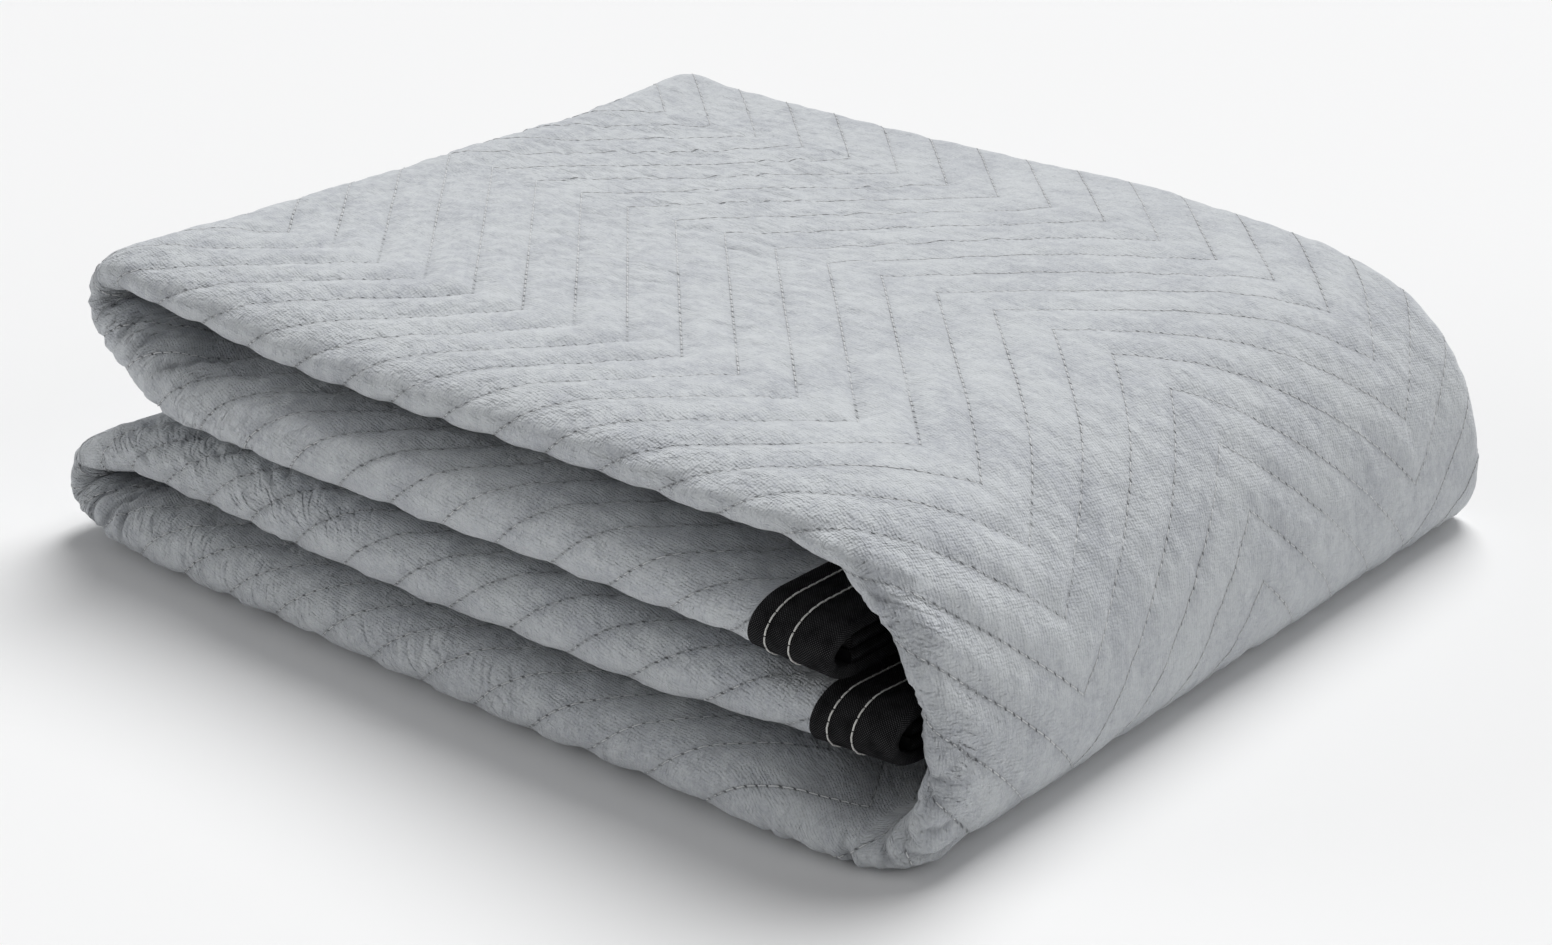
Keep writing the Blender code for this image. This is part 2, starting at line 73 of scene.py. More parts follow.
# %% The strip's places
# name: x and z of the middle line, thickness, y of the near and the far edge, reach of the near
# fold, lift of the near lip, shift of the far shoulder in x and z, swell of the outermost ply
PLACES = {
    "upper bound end": (0.2140, 0.0765, 0.0245, -0.2225, 0.2185, 0.018, 0, 0, -0.004, 0),
    "layer 2, at the tape": (0.1740, 0.0790, 0.0245, -0.2240, 0.2185, 0.018, 0, 0, -0.004, 0),
    "layer 2, right": (0.1200, 0.0820, 0.0300, -0.2275, 0.2200, 0.018, 0, 0, 0, 0),
    "layer 2, middle": (0.0000, 0.0818, 0.0310, -0.2290, 0.2205, 0.018, 0, 0, 0, 0),
    "layer 2, left": (-0.1200, 0.0820, 0.0300, -0.2270, 0.2200, 0.018, 0, -0.005, 0, 0.001),
    "upper turn, start": (-0.1850, 0.0850, 0.0275, -0.2230, 0.2190, 0.018, 0, -0.012, 0, 0.0055),
    "upper turn, low": (-0.2130, 0.0940, 0.0235, -0.2180, 0.2180, 0.018, 0, -0.014, 0, 0.0080),
    "upper turn, 1": (-0.2350, 0.1015, 0.0215, -0.2140, 0.2170, 0.018, 0, -0.014, 0, 0.0060),
    "upper turn, 2": (-0.2431, 0.1049, 0.0210, -0.2120, 0.2170, 0.018, 0, -0.014, 0, 0.0035),
    "upper turn, 3": (-0.2465, 0.1130, 0.0210, -0.2100, 0.2170, 0.018, 0, -0.014, 0, 0.0010),
    "upper turn, 4": (-0.2431, 0.1211, 0.0210, -0.2090, 0.2170, 0.018, 0, -0.014, 0.001, 0.001),
    "upper turn, 5": (-0.2350, 0.1245, 0.0215, -0.2080, 0.2170, 0.020, 0, -0.014, 0.002, 0.001),
    "upper turn, high": (-0.2100, 0.1230, 0.0240, -0.2080, 0.2180, 0.024, 0, -0.010, 0.002, 0),
    "top, left": (-0.1650, 0.1200, 0.0275, -0.2080, 0.2190, 0.028, 0, -0.005, 0.001, 0),
    "top, sag": (-0.0900, 0.1185, 0.0290, -0.2080, 0.2200, 0.030, -0.004, 0, 0, 0),
    "top, middle": (0.0000, 0.1180, 0.0290, -0.2090, 0.2205, 0.030, -0.002, 0, 0, 0),
    "top, right": (0.0800, 0.1180, 0.0280, -0.2110, 0.2205, 0.028, 0.001, 0, 0, 0),
    "shoulder, start": (0.1400, 0.1170, 0.0240, -0.2130, 0.2200, 0.024, 0.001, 0, -0.002, 0),
    "shoulder": (0.1800, 0.1155, 0.0205, -0.2120, 0.2190, 0.020, 0.003, 0, -0.005, 0),
    "shoulder, end": (0.2100, 0.1070, 0.0190, -0.2110, 0.2180, 0.018, 0.004, 0, -0.006, 0),
    "wrap, high": (0.2320, 0.0890, 0.0180, -0.2090, 0.2170, 0.016, 0.003, 0, -0.003, 0),
    "wrap, middle": (0.2480, 0.0640, 0.0175, -0.2080, 0.2170, 0.016, 0, 0, 0, 0),
    "wrap, low": (0.2545, 0.0370, 0.0175, -0.2120, 0.2180, 0.016, 0, 0, 0, 0.001),
    "wrap, foot": (0.2528, 0.0195, 0.0160, -0.2220, 0.2180, 0.016, 0, 0, 0, 0.0045),
    "wrap, corner": (0.2485, 0.0120, 0.0160, -0.2280, 0.2180, 0.016, 0, 0, 0, 0.0055),
    "wrap, under": (0.2390, 0.0087, 0.0178, -0.2340, 0.2180, 0.016, 0, 0, 0, 0),
    "layer 4, right": (0.1950, 0.0122, 0.0250, -0.2400, 0.2190, 0.016, 0, 0, 0, 0),
    "layer 4, middle": (0.1000, 0.0137, 0.0280, -0.2440, 0.2200, 0.016, 0, 0, 0, 0),
    "layer 4, left": (-0.1000, 0.0137, 0.0280, -0.2450, 0.2200, 0.016, 0, 0, 0, 0),
    "lower turn, start": (-0.1850, 0.0137, 0.0280, -0.2430, 0.2190, 0.016, 0, 0, 0, 0),
    "lower turn, low": (-0.2180, 0.0140, 0.0240, -0.2390, 0.2180, 0.016, 0, -0.003, 0, 0),
    "lower turn, 1": (-0.2330, 0.0162, 0.0215, -0.2360, 0.2180, 0.016, 0, -0.004, 0, 0),
    "lower turn, 2": (-0.2413, 0.0196, 0.0205, -0.2340, 0.2180, 0.016, 0, -0.004, 0, 0),
    "lower turn, 3": (-0.2447, 0.0279, 0.0200, -0.2320, 0.2180, 0.016, 0, -0.004, 0, 0),
    "lower turn, 4": (-0.2413, 0.0362, 0.0205, -0.2300, 0.2180, 0.016, 0, -0.004, 0, 0),
    "lower turn, 5": (-0.2330, 0.0396, 0.0215, -0.2300, 0.2180, 0.016, 0, -0.004, 0, 0),
    "lower turn, high": (-0.2150, 0.0455, 0.0250, -0.2310, 0.2180, 0.016, 0, -0.003, 0, 0),
    "layer 3, left": (-0.1600, 0.0490, 0.0290, -0.2340, 0.2190, 0.016, 0, 0, 0, 0),
    "layer 3, middle": (0.0000, 0.0475, 0.0300, -0.2340, 0.2200, 0.016, 0, 0, 0, 0),
    "layer 3, right": (0.1300, 0.0465, 0.0290, -0.2290, 0.2200, 0.016, 0, 0, 0, 0),
    "layer 3, at the tape": (0.2000, 0.0430, 0.0255, -0.2190, 0.2185, 0.016, 0.003, 0, 0, 0),
    "lower bound end": (0.2405, 0.0405, 0.0255, -0.2170, 0.2185, 0.016, 0.007, 0, 0, 0),
}
X, Z, THICK, NEAR, FAR, NOSE, LIP, BACK_X, BACK_Z, SWELL = range(10)
TABLE = np.array(list(PLACES.values()), dtype=float)
KNOTS = np.concatenate([[0.0], np.cumsum(np.hypot(*np.diff(TABLE[:, :2], axis=0).T))])
print(f"{len(PLACES)} places along a strip {KNOTS[-1]:.3f} m long")

# %% Read the strip at any place


def smooth(t):
    """An even rise from 0 to 1: 3 t squared less 2 t cubed."""
    t = np.clip(t, 0.0, 1.0)
    return t * t * (3.0 - 2.0 * t)


def through(knots, values, at):
    """A smooth curve through values given at knots, read at the places at.

    Between two knots it is the cubic that leaves the first and meets the second
    with the slope of a parabola through each knot and its two neighbours.
    """
    step = np.diff(knots)
    slope = np.diff(values, axis=0) / step[:, None]
    wide = (step[1:] + step[:-1])[:, None]
    inner = (slope[:-1] * step[1:, None] + slope[1:] * step[:-1, None]) / wide
    tangent = np.vstack([slope[:1], inner, slope[-1:]])
    k = np.clip(np.searchsorted(knots, at, side="right") - 1, 0, len(step) - 1)
    h = step[k][:, None]
    t = ((at - knots[k]) / step[k])[:, None]
    start, end = values[k], values[k + 1]
    return (
        (2 * t**3 - 3 * t**2 + 1) * start
        + (t**3 - 2 * t**2 + t) * h * tangent[k]
        + (3 * t**2 - 2 * t**3) * end
        + (t**3 - t**2) * h * tangent[k + 1]
    )


def strip_at(s):
    """The table's columns at the places s: x and z on the smooth curve, the others straight."""
    s = np.asarray(s, dtype=float)
    out = np.empty((len(s), TABLE.shape[1]))
    out[:, :2] = through(KNOTS, TABLE[:, :2], s)
    for column in range(2, TABLE.shape[1]):
        out[:, column] = np.interp(s, KNOTS, TABLE[:, column])
    return out


HALF_STEP = 0.0004  # either side of a place, to find the strip's direction there


def facing(s):
    """The direction across the strip that faces out of the stack: its own direction, turned left."""
    low = np.clip(s - HALF_STEP, 0.0, KNOTS[-1])
    high = np.clip(s + HALF_STEP, 0.0, KNOTS[-1])
    along = strip_at(high)[:, :2] - strip_at(low)[:, :2]
    along /= np.hypot(*along.T)[:, None]
    return np.column_stack([-along[:, 1], along[:, 0]])


def place(name):
    """Where a named row of the table lies along the strip."""
    return KNOTS[list(PLACES).index(name)]


# %% [markdown]
# ## Distances over the cloth
#
# Seams and creases follow the cloth, so they are laid out in its own two distances. `run` goes
# along the strip over its outer face, from the left end of the top. `width` goes across it, from
# a zigzag point near the middle towards the near side.

# %% Along the outer face
FINE = np.interp(np.arange(0, len(KNOTS) - 1 + 1 / 48, 1 / 24), np.arange(len(KNOTS)), KNOTS)
OUTER = strip_at(FINE)[:, :2] + facing(FINE) * strip_at(FINE)[:, THICK : THICK + 1] / 2
OUTER_RUN = np.concatenate([[0.0], np.cumsum(np.hypot(*np.diff(OUTER, axis=0).T))])
OUTER_RUN -= np.interp(place("upper turn, high"), FINE, OUTER_RUN)


def run_of(s):
    """The run over the outer face at the places s."""
    return np.interp(s, FINE, OUTER_RUN)


def place_of(run):
    """The place along the strip at a run over the outer face."""
    return np.interp(run, OUTER_RUN, FINE)


print(f"run goes from {OUTER_RUN[0]:.3f} to {OUTER_RUN[-1]:.3f} m")

# %% Across the strip
PLAIN_Y = np.array([LIP_FROM, SHOULDER_FROM])  # of the points on a straight ply
TOP_STEPS = 140  # across the outermost ply
EDGE_POINTS = 3  # from a free edge to the back fold
BEND_POINTS = 7  # round a back fold
NOSE_POINTS = 25  # round the near fold
FIRST_TOP = EDGE_POINTS + BEND_POINTS  # the first point on the outermost ply
# the steps that plain rings keep, closer together towards the folds
KEPT_STEPS = np.array([1, 4, 10, 24, 44, 66, 88, 106, 118, 126, 131, 134, 136, 138, 139])
NEAR_ROOM = np.array([0.002, 0.005, 0.010, 0.018, 0.030])  # points beside the near fold


def across(s, face, half, top=TOP_STEPS, bend=BEND_POINTS, nose=NOSE_POINTS):
    """One face of the four plies, as (y, h) points from one free edge round to the other.

    face is 1 for the outer face and -1 for the inner one; half is half the
    cloth's thickness as a share of the strip's.  h is the height over the
    middle line.  Plies are straight and all folds are half ellipses.  The face
    lies half the cloth's thickness off the middle of its ply.
    """
    at = strip_at(s)
    thick, near, far, reach = (at[:, k : k + 1] for k in (THICK, NEAR, FAR, NOSE))
    low, high = PITCH_SHARE / 2 * thick, 1.5 * PITCH_SHARE * thick
    off = face * half * thick
    back = far - BACK_BEND - PLY_SHARE / 2 * thick
    front = near + reach + PLY_SHARE / 2 * thick
    plain = np.ones_like(thick) * PLAIN_Y[None, :]
    turn = np.linspace(-np.pi / 2, np.pi / 2, bend)[None, :]
    angle = np.linspace(np.pi / 2, 3 * np.pi / 2, nose)[None, :]
    lean_y, lean_h = np.cos(angle) / reach, np.sin(angle) / high
    long = np.hypot(lean_y, lean_h)

    def straight(y, level, side):
        return y, level + side * off + 0.0 * y

    def back_fold(level):
        y = back + (BACK_BEND + off) * np.cos(turn)
        return y, level + (low + off) * np.sin(turn)

    edge = front - EDGE_INSET
    share = np.arange(1, top)[None, :] / top
    under = np.concatenate([front + NEAR_ROOM[None, :], plain], axis=1)
    pieces = [
        straight(np.concatenate([edge, plain], axis=1), low, -1),
        back_fold((low + high) / 2),
        straight(back + (front - back) * share, high, 1),
        (
            front + reach * np.cos(angle) + off * lean_y / long,
            high * np.sin(angle) + off * lean_h / long,
        ),
        straight(under, -high, -1),
        back_fold(-(low + high) / 2),
        straight(np.concatenate([plain[:, ::-1], edge], axis=1), -low, 1),
    ]
    return tuple(np.concatenate([p[k] for p in pieces], axis=1) for k in (0, 1))


# %% Widths over a section
POINT_Y = 0.0146  # where the zigzag's middle points lie


def widths(y, h):
    """The distance over the face from y = POINT_Y on the outermost ply, growing to the near side."""
    out = np.zeros_like(y)
    out[:, 1:] = np.cumsum(np.hypot(np.diff(y, axis=1), np.diff(h, axis=1)), axis=1)
    outermost = y[:, FIRST_TOP : FIRST_TOP + TOP_STEPS - 1]
    column = FIRST_TOP + np.argmin(np.abs(outermost - POINT_Y), axis=1)
    rows = np.arange(len(y))
    return out - (out[rows, column] + y[rows, column] - POINT_Y)[:, None]


SLIP = 0.045  # of the cloth across the strip, as it was not folded square
LAYER_2_TO, LAYER_4_FROM, LAYER_4_TO = -0.03, 0.56, 1.10  # the runs where a slip starts or ends


def on_layer_2(run):
    """0 on the top and past it, rising to 1 round the upper turn and on layer 2."""
    return smooth((LAYER_2_TO - run) / 0.11)


def slip(run):
    """How far the cloth's own width lies off its section's: 0, but -SLIP on layers 2 and 4."""
    on_layer_4 = smooth((run - LAYER_4_FROM) / 0.08) * smooth((LAYER_4_TO - run) / 0.08)
    return -SLIP * (on_layer_2(run) + on_layer_4)


def outward(y, h):
    """The direction that leaves the face, in the section's own plane: along it, turned left."""
    dy, dh = np.gradient(y, axis=1), np.gradient(h, axis=1)
    long = np.maximum(np.hypot(dy, dh), 1e-9)
    return dh / long, -dy / long


def lay(s, y, h):
    """Points of the stack from section points (y, h) at the places s.

    The near lip lifts and the far shoulder shifts. A swell grows from nothing on
    the strip's inner side to all of it on the outer one, and nothing reaches
    below the surface that the blanket lies on.
    """
    at, normal = strip_at(s), facing(s)
    lip = np.clip((LIP_FROM - y) / LIP_REACH, 0.0, 1.0)
    back = np.clip((y - SHOULDER_FROM) / SHOULDER_REACH, 0.0, 1.0)
    outer = np.clip((h / at[:, THICK, None] + SWELL_SPAN / 2) / SWELL_SPAN, 0.0, 1.0)
    swell = at[:, SWELL, None] * outer
    x = at[:, X, None] + at[:, BACK_X, None] * back + (h + swell) * normal[:, 0:1]
    z = at[:, Z, None] + at[:, LIP, None] * lip + at[:, BACK_Z, None] * back
    z = z + (h + swell) * normal[:, 1:2]
    return np.stack([x - MIDDLE[0], y - MIDDLE[1], np.maximum(z, SURFACE_Z)], axis=-1)


# %% [markdown]
# ## Quilting, creases and crumples
#
# Felt over padding is soft. It sinks along each stitched row, crumples where the fold is tight, and
# keeps a few creases where the blanket was pressed. Each is a small depth added to the face. The
# rows zigzag, so the depth depends on how far a point is from its nearest row.

# %% The stitched rows
ROW_PITCH = 0.0322
ROW_FROM = 0.0040  # run of the first row at a zigzag point
LEG = 0.1368  # width from one zigzag point to the next
LEAN = 0.94  # how far a row runs on for each metre of width
STITCH_WIDTH = LEG / 34  # width of one stitch; its length is 1.37 times that


def turned(width):
    """A triangle wave: 0 at the middle zigzag point, LEG at the next ones on both sides."""
    return np.abs((width + LEG) % (2 * LEG) - LEG)


def from_row(run, width):
    """The distance from the nearest stitched row, over the face and square to the row."""
    ahead = (run - ROW_FROM - LEAN * turned(width)) / ROW_PITCH
    return np.abs(ahead - np.round(ahead)) * ROW_PITCH / np.hypot(1.0, LEAN)


def waves(run, width, size, seed, count=7):
    """Uneven ripples from -1 to 1: a sum of sine waves about size long, in seeded directions."""
    rng = np.random.default_rng(seed)
    total = 0.0
    for _ in range(count):
        way, start = rng.uniform(0, np.pi), rng.uniform(0, 2 * np.pi)
        length = size * rng.uniform(0.65, 1.5)
        far = run * np.cos(way) + width * np.sin(way)
        total = total + np.sin(2 * np.pi * far / length + start)
    return total / np.sqrt(count) / 1.4


# %% Creases, listed one by one
CREASE_DEPTH = 1.1  # times each depth in the table
# run and width of the middle, turn from the run's way in degrees, half length, half breadth, depth
CREASES = np.array(
    [
        (0.0354, -0.1306, -5, 0.024, 0.0028, 0.0011),  # the top, back left
        (0.0678, -0.0907, -25, 0.033, 0.0030, 0.0007),
        (0.1299, -0.1046, 15, 0.022, 0.0028, 0.0010),
        (0.0948, 0.0182, -1, 0.020, 0.0028, 0.0009),
        (0.1858, 0.0127, 7, 0.024, 0.0028, 0.0010),  # the top, middle
        (0.1156, 0.0909, -15, 0.022, 0.0030, 0.0006),
        (0.2482, 0.0624, -15, 0.016, 0.0026, 0.0009),
        (0.1884, -0.0748, -17, 0.022, 0.0028, 0.0007),
        (0.1832, -0.1400, -4, 0.020, 0.0028, 0.0006),
        (0.2378, 0.1316, -16, 0.025, 0.0028, 0.0007),
        (-0.0629, 0.2334, 106, 0.016, 0.0026, 0.0014),  # the upper turn
        (-0.0825, 0.2381, 120, 0.014, 0.0024, 0.0016),
        (-0.1038, 0.2485, 103, 0.014, 0.0026, 0.0014),
        (-0.1179, 0.2508, 110, 0.018, 0.0026, 0.0014),
        (-0.1527, 0.2712, 128, 0.028, 0.0032, 0.0018),
        (1.0389, 0.2600, 100, 0.020, 0.0030, 0.0022),  # the lower turn
        (1.0232, 0.2700, 113, 0.020, 0.0028, 0.0020),
        (1.0098, 0.2700, 95, 0.016, 0.0028, 0.0016),
        (0.4495, 0.2215, -30, 0.011, 0.0022, 0.0016),  # the wrap's near edge
        (0.4574, 0.2253, -54, 0.010, 0.0020, 0.0012),
        (0.5209, 0.2276, -62, 0.012, 0.0022, 0.0013),
        (0.5281, 0.2299, -72, 0.012, 0.0022, 0.0012),
        (0.5393, 0.2280, 104, 0.020, 0.0020, 0.0013),  # the foot
        (0.5500, 0.2280, 97, 0.024, 0.0022, 0.0018),
        (0.5620, 0.2300, 92, 0.028, 0.0024, 0.0026),
        (0.5754, 0.2320, 84, 0.028, 0.0024, 0.0025),
        (0.5900, 0.2300, 96, 0.020, 0.0020, 0.0012),
        (0.6057, 0.2220, 109, 0.024, 0.0024, 0.0015),
    ]
)


def creases(run, width):
    """The sum of the creases: each a long soft trough, deepest at its middle.

    A crease is depth times exp(-along squared) times exp(-across squared), with
    both distances as shares of its half length and half breadth. A sine wave
    along it keeps it from being straight.
    """
    width = width - slip(run)
    total = np.zeros(np.shape(run))
    for at_run, at_width, turn, long, broad, depth in CREASES:
        way = np.radians(turn)
        along = (run - at_run) * np.cos(way) + (width - at_width) * np.sin(way)
        over = (width - at_width) * np.cos(way) - (run - at_run) * np.sin(way)
        over = over + 0.5 * broad * np.sin(along / broad / 1.7)
        total -= CREASE_DEPTH * depth * np.exp(-((along / long) ** 2) - (over / broad) ** 2)
    return total


# %% Patches of folds
FOLD_DEPTH = 0.9  # times each depth in the table
# where: run and width of the middle, half of both reaches, turn in degrees, from fold to fold,
# depth, and how strongly the material adds crinkles
PATCHES = {
    "upper turn, near": (-0.100, 0.246, 0.070, 0.042, 108, 0.0105, 0.0010, 0.60),
    "upper turn": (-0.062, 0.020, 0.040, 0.260, 91, 0.0130, 0.0004, 0.35),
    "layer 2, left": (-0.190, 0.262, 0.070, 0.034, 125, 0.0120, 0.0010, 0.50),
    "lower turn, near": (1.058, 0.262, 0.066, 0.042, 104, 0.0100, 0.0008, 0.50),
    "lower turn": (1.078, 0.020, 0.045, 0.260, 91, 0.0130, 0.0003, 0.35),
    "layer 3, left": (1.200, 0.240, 0.110, 0.034, 41, 0.0092, 0.0008, 0.50),
    "layer 4, left": (0.960, 0.262, 0.080, 0.032, 66, 0.0110, 0.0007, 0.45),
    "layer 4, middle": (0.800, 0.262, 0.100, 0.030, 58, 0.0140, 0.0004, 0.40),
    "top, back left": (0.075, -0.080, 0.130, 0.120, -3, 0.0125, 0.0008, 0.18),
    "top, middle": (0.190, 0.020, 0.110, 0.120, -8, 0.0150, 0.0005, 0.14),
    "wrap's near edge": (0.490, 0.222, 0.070, 0.024, -55, 0.0085, 0.0008, 0.40),
    "foot": (0.574, 0.230, 0.046, 0.030, 90, 0.0120, 0.0012, 0.45),
}


def folds(run, width):
    """Uneven ridges side by side in each patch.

    Each is the sum of two sine waves over the distance square to the folds,
    bent by slow waves, times a patch that fades at its rim.
    """
    width = width - slip(run)
    total = np.zeros(np.shape(run))
    for number, patch in enumerate(PATCHES.values()):
        at_run, at_width, half_run, half_width, turn, size, depth = patch[:7]
        rim = ((run - at_run) / half_run) ** 4 + ((width - at_width) / half_width) ** 4
        way = np.radians(turn)
        over = (width - at_width) * np.cos(way) - (run - at_run) * np.sin(way)
        over = over + 0.4 * size * waves(run, width, 4.5 * size, 50 + number)
        turns = 2 * np.pi * over / size
        ridge = np.sin(turns) + 0.55 * np.sin(turns * 1.73 + 1.0)
        uneven = 0.5 + 0.6 * waves(run, width, 3.2 * size, 80 + number)
        total += FOLD_DEPTH * depth * np.exp(-rim) * ridge * uneven
    return total


# %% Where the rows are drawn in less
UPPER_TURN_RUN, LOWER_TURN_RUN = -0.060, 1.078
TURN_REACH = 0.05
NEAR_FOLD_FROM, UNDERSIDE_FROM, FAR_FOLD_TO = 0.195, 0.258, -0.160  # widths over a section
BOTTOM_FROM, BOTTOM_TO = 0.50, 0.98  # runs


def spot(run, width, at_run, at_width, long, broad):
    """A soft round spot: exp(-x squared - y squared), with both distances as shares of its size."""
    return np.exp(-(((run - at_run) / long) ** 2) - ((width - at_width) / broad) ** 2)


def fullness(run, width):
    """How strongly the rows are drawn in: about 1 by the lips, less where the cloth is worn or tight.

    It is a slow wave near 0.85, times a factor for each place: the two turns, the
    near fold and its underside, the far fold, the worn part of the top, the
    bottom, the cloth away from the lips, and the puffed near lip of the top.
    """
    plain = width - slip(run)
    turns = (UPPER_TURN_RUN, LOWER_TURN_RUN)
    at_turn = sum(np.exp(-(((run - at_run) / TURN_REACH) ** 2)) for at_run in turns)
    near_fold = smooth((plain - NEAR_FOLD_FROM) / 0.02)
    below = smooth((plain - UNDERSIDE_FROM) / 0.014) * (1.0 - on_layer_2(run))
    far_fold = smooth((FAR_FOLD_TO - plain) / 0.030)
    worn = spot(run, width, 0.08, -0.07, 0.18, 0.13)
    bottom = smooth((run - BOTTOM_FROM) / 0.03) * smooth((BOTTOM_TO - run) / 0.05)
    full = 0.85 + 0.35 * waves(run, width, 0.09, 3)
    full = full * (1.0 - 0.85 * np.clip(at_turn, 0, 1)) * (1.0 - 0.15 * near_fold)
    full = full * (1.0 - 0.80 * far_fold) * (1.0 - 0.60 * below) * (1.0 - 0.55 * worn)
    full = full * (1.0 - 0.60 * bottom * (1.0 - near_fold))
    full = full * (0.55 + 0.45 * smooth((width - 0.05) / 0.10))
    return full * (1.0 + 0.5 * spot(run, width, 0.10, 0.15, 0.16, 0.05))


# %% The whole relief
SHARP_DIP, SHARP_REACH = 0.0012, 0.0020  # at the thread
ROUND_DIP, ROUND_REACH = 0.0013, 0.0064  # of the padding beside it
SUNK_BY = 0.0006  # of the whole face, so that its waves stay near the plain form


def relief(run, width):
    """How far the outer face stands off its plain form, in metres.

    It is minus the fullness times a seam, plus waves of three lengths, creases
    and folds. A seam is a sharp dip, exp(-distance), and a round one,
    exp(-distance squared), over the distance from the nearest row.
    """
    away = from_row(run, width)
    seam = SHARP_DIP * np.exp(-away / SHARP_REACH)
    seam = seam + ROUND_DIP * np.exp(-((away / ROUND_REACH) ** 2))
    soft = 0.00035 * waves(run, width, 0.021, 5) + 0.00020 * waves(run, width, 0.010, 6)
    slow = 0.0008 * waves(run, width, 0.13, 9)
    pressed = soft + slow - SUNK_BY - fullness(run, width) * seam
    return pressed + creases(run, width) + folds(run, width)


# %% [markdown]
# ## The cloth
#
# The strip is a closed tube: rings that follow the plies, one behind the other along the path. The
# top and the wrap are seen from close by, so their outermost ply gets many more points. Where the
# fine part meets the plain part, one long face reaches over the spare points.

# %% Rings along the strip
FINE_FROM = place("upper turn, start")
FINE_TO = place("layer 4, right")
FINE_STEP = 0.0026
PLAIN_STEP = 0.0052
CREASED_STEP = 0.0026  # at the lower turn, which is creased
CREASED_FROM = place_of(0.93)
CREASED_TO = place_of(1.27)
END = KNOTS[-1]


def spaced(start, end, step):
    """Places from start to end, about step apart, without the last."""
    count = max(int(round((end - start) / step)), 1)
    return start + (end - start) * np.arange(count) / count


STATIONS = np.concatenate(
    [
        [0.0, TAPE_WIDTH / 2, TAPE_WIDTH],
        spaced(TAPE_WIDTH + TAPE_EASE, FINE_FROM, PLAIN_STEP),
        spaced(FINE_FROM, FINE_TO, FINE_STEP),
        spaced(FINE_TO, CREASED_FROM, PLAIN_STEP),
        spaced(CREASED_FROM, CREASED_TO, CREASED_STEP),
        spaced(CREASED_TO, END - TAPE_WIDTH - TAPE_EASE, PLAIN_STEP),
        [END - TAPE_WIDTH - TAPE_EASE, END - TAPE_WIDTH, END - TAPE_WIDTH / 2, END],
    ]
)
IS_FINE = (STATIONS >= FINE_FROM) & (STATIONS <= FINE_TO)
print(len(STATIONS), "rings,", int(IS_FINE.sum()), "of them fine")

# %% Points of the rings


def taped(s):
    """1 where the tape presses the cloth flat, 0 beyond it."""
    return 1.0 - smooth((np.minimum(s, END - s) - TAPE_WIDTH) / TAPE_EASE)


def half_ply(s):
    """Half of the cloth's thickness at the places s, as a share of the strip's; less where taped."""
    return (PLY_SHARE + (TAPED_SHARE - PLY_SHARE) * taped(s))[:, None] / 2


def outer_face(s):
    """The quilted outer face at the places s: points, with their run and width."""
    y, h = across(s, 1, half_ply(s))
    width = widths(y, h) + slip(run_of(s))[:, None]
    run = np.broadcast_to(run_of(s)[:, None], width.shape)
    lift = relief(run, width) * (1.0 - taped(s))[:, None]
    out_y, out_h = outward(y, h)
    return lay(s, y + lift * out_y, h + lift * out_h), run, width


def inner_face(s):
    """The plain inner face, which only shows where the strip is open."""
    return lay(s, *across(s, -1, half_ply(s), top=6, bend=5, nose=11))


outer_points, outer_run, outer_width = outer_face(STATIONS)
inner_points = inner_face(STATIONS)[:, ::-1]
rings = np.concatenate([outer_points, inner_points], axis=1)
n_outer, n_inner = outer_points.shape[1], inner_points.shape[1]
inner_width = np.interp(
    np.arange(n_inner) / (n_inner - 1), np.arange(n_outer) / (n_outer - 1), outer_width[0, ::-1]
)
ring_run = np.concatenate([outer_run, outer_run[:, :1] + np.zeros((1, n_inner))], axis=1)
ring_width = np.concatenate(
    [outer_width, np.broadcast_to(inner_width, (len(STATIONS), n_inner))], axis=1
)
print("ring of", n_outer, "outer and", n_inner, "inner points")

# %% Faces between the rings
spare = np.zeros(n_outer + n_inner, dtype=bool)
spare[FIRST_TOP : FIRST_TOP + TOP_STEPS - 1] = True
spare[FIRST_TOP + KEPT_STEPS - 1] = False


def tube_faces(fine, spare):
    """Quads of a closed tube of rings, with plain rings that leave out their spare points.

    Each ring's used points get the next numbers.  Between two rings of one kind
    the faces are quads; between a fine and a plain ring each plain edge meets
    all the fine edges beside it in one face.  Returns the numbers and the faces.
    """
    used = fine[:, None] | ~spare[None, :]
    number = np.cumsum(used.ravel()).reshape(used.shape) - 1
    faces = []
    kept = np.flatnonzero(~spare)
    for both, columns in ((True, np.arange(len(spare))), (False, kept)):
        rows = np.flatnonzero((fine[:-1] == both) & (fine[1:] == both))
        a, b = columns, np.roll(columns, -1)
        quads = [number[rows][:, a], number[rows][:, b]]
        quads += [number[rows + 1][:, b], number[rows + 1][:, a]]
        faces += np.stack(quads, axis=-1).reshape(-1, 4).tolist()
    for row in np.flatnonzero(fine[:-1] != fine[1:]):
        for a, b in zip(kept, np.roll(kept, -1)):
            between = np.arange(a, b + 1) if b > a else np.array([a, b])
            ends = np.array([a, b])
            low = between if fine[row] else ends
            high = between if fine[row + 1] else ends
            faces.append(number[row, low].tolist() + number[row + 1, high[::-1]].tolist())
    faces.append(number[0, kept][::-1].tolist())
    faces.append(number[-1, kept].tolist())
    return used, faces


used, cloth_faces = tube_faces(IS_FINE, spare)
print(int(used.sum()), "points and", len(cloth_faces), "faces")

# %% Make the mesh


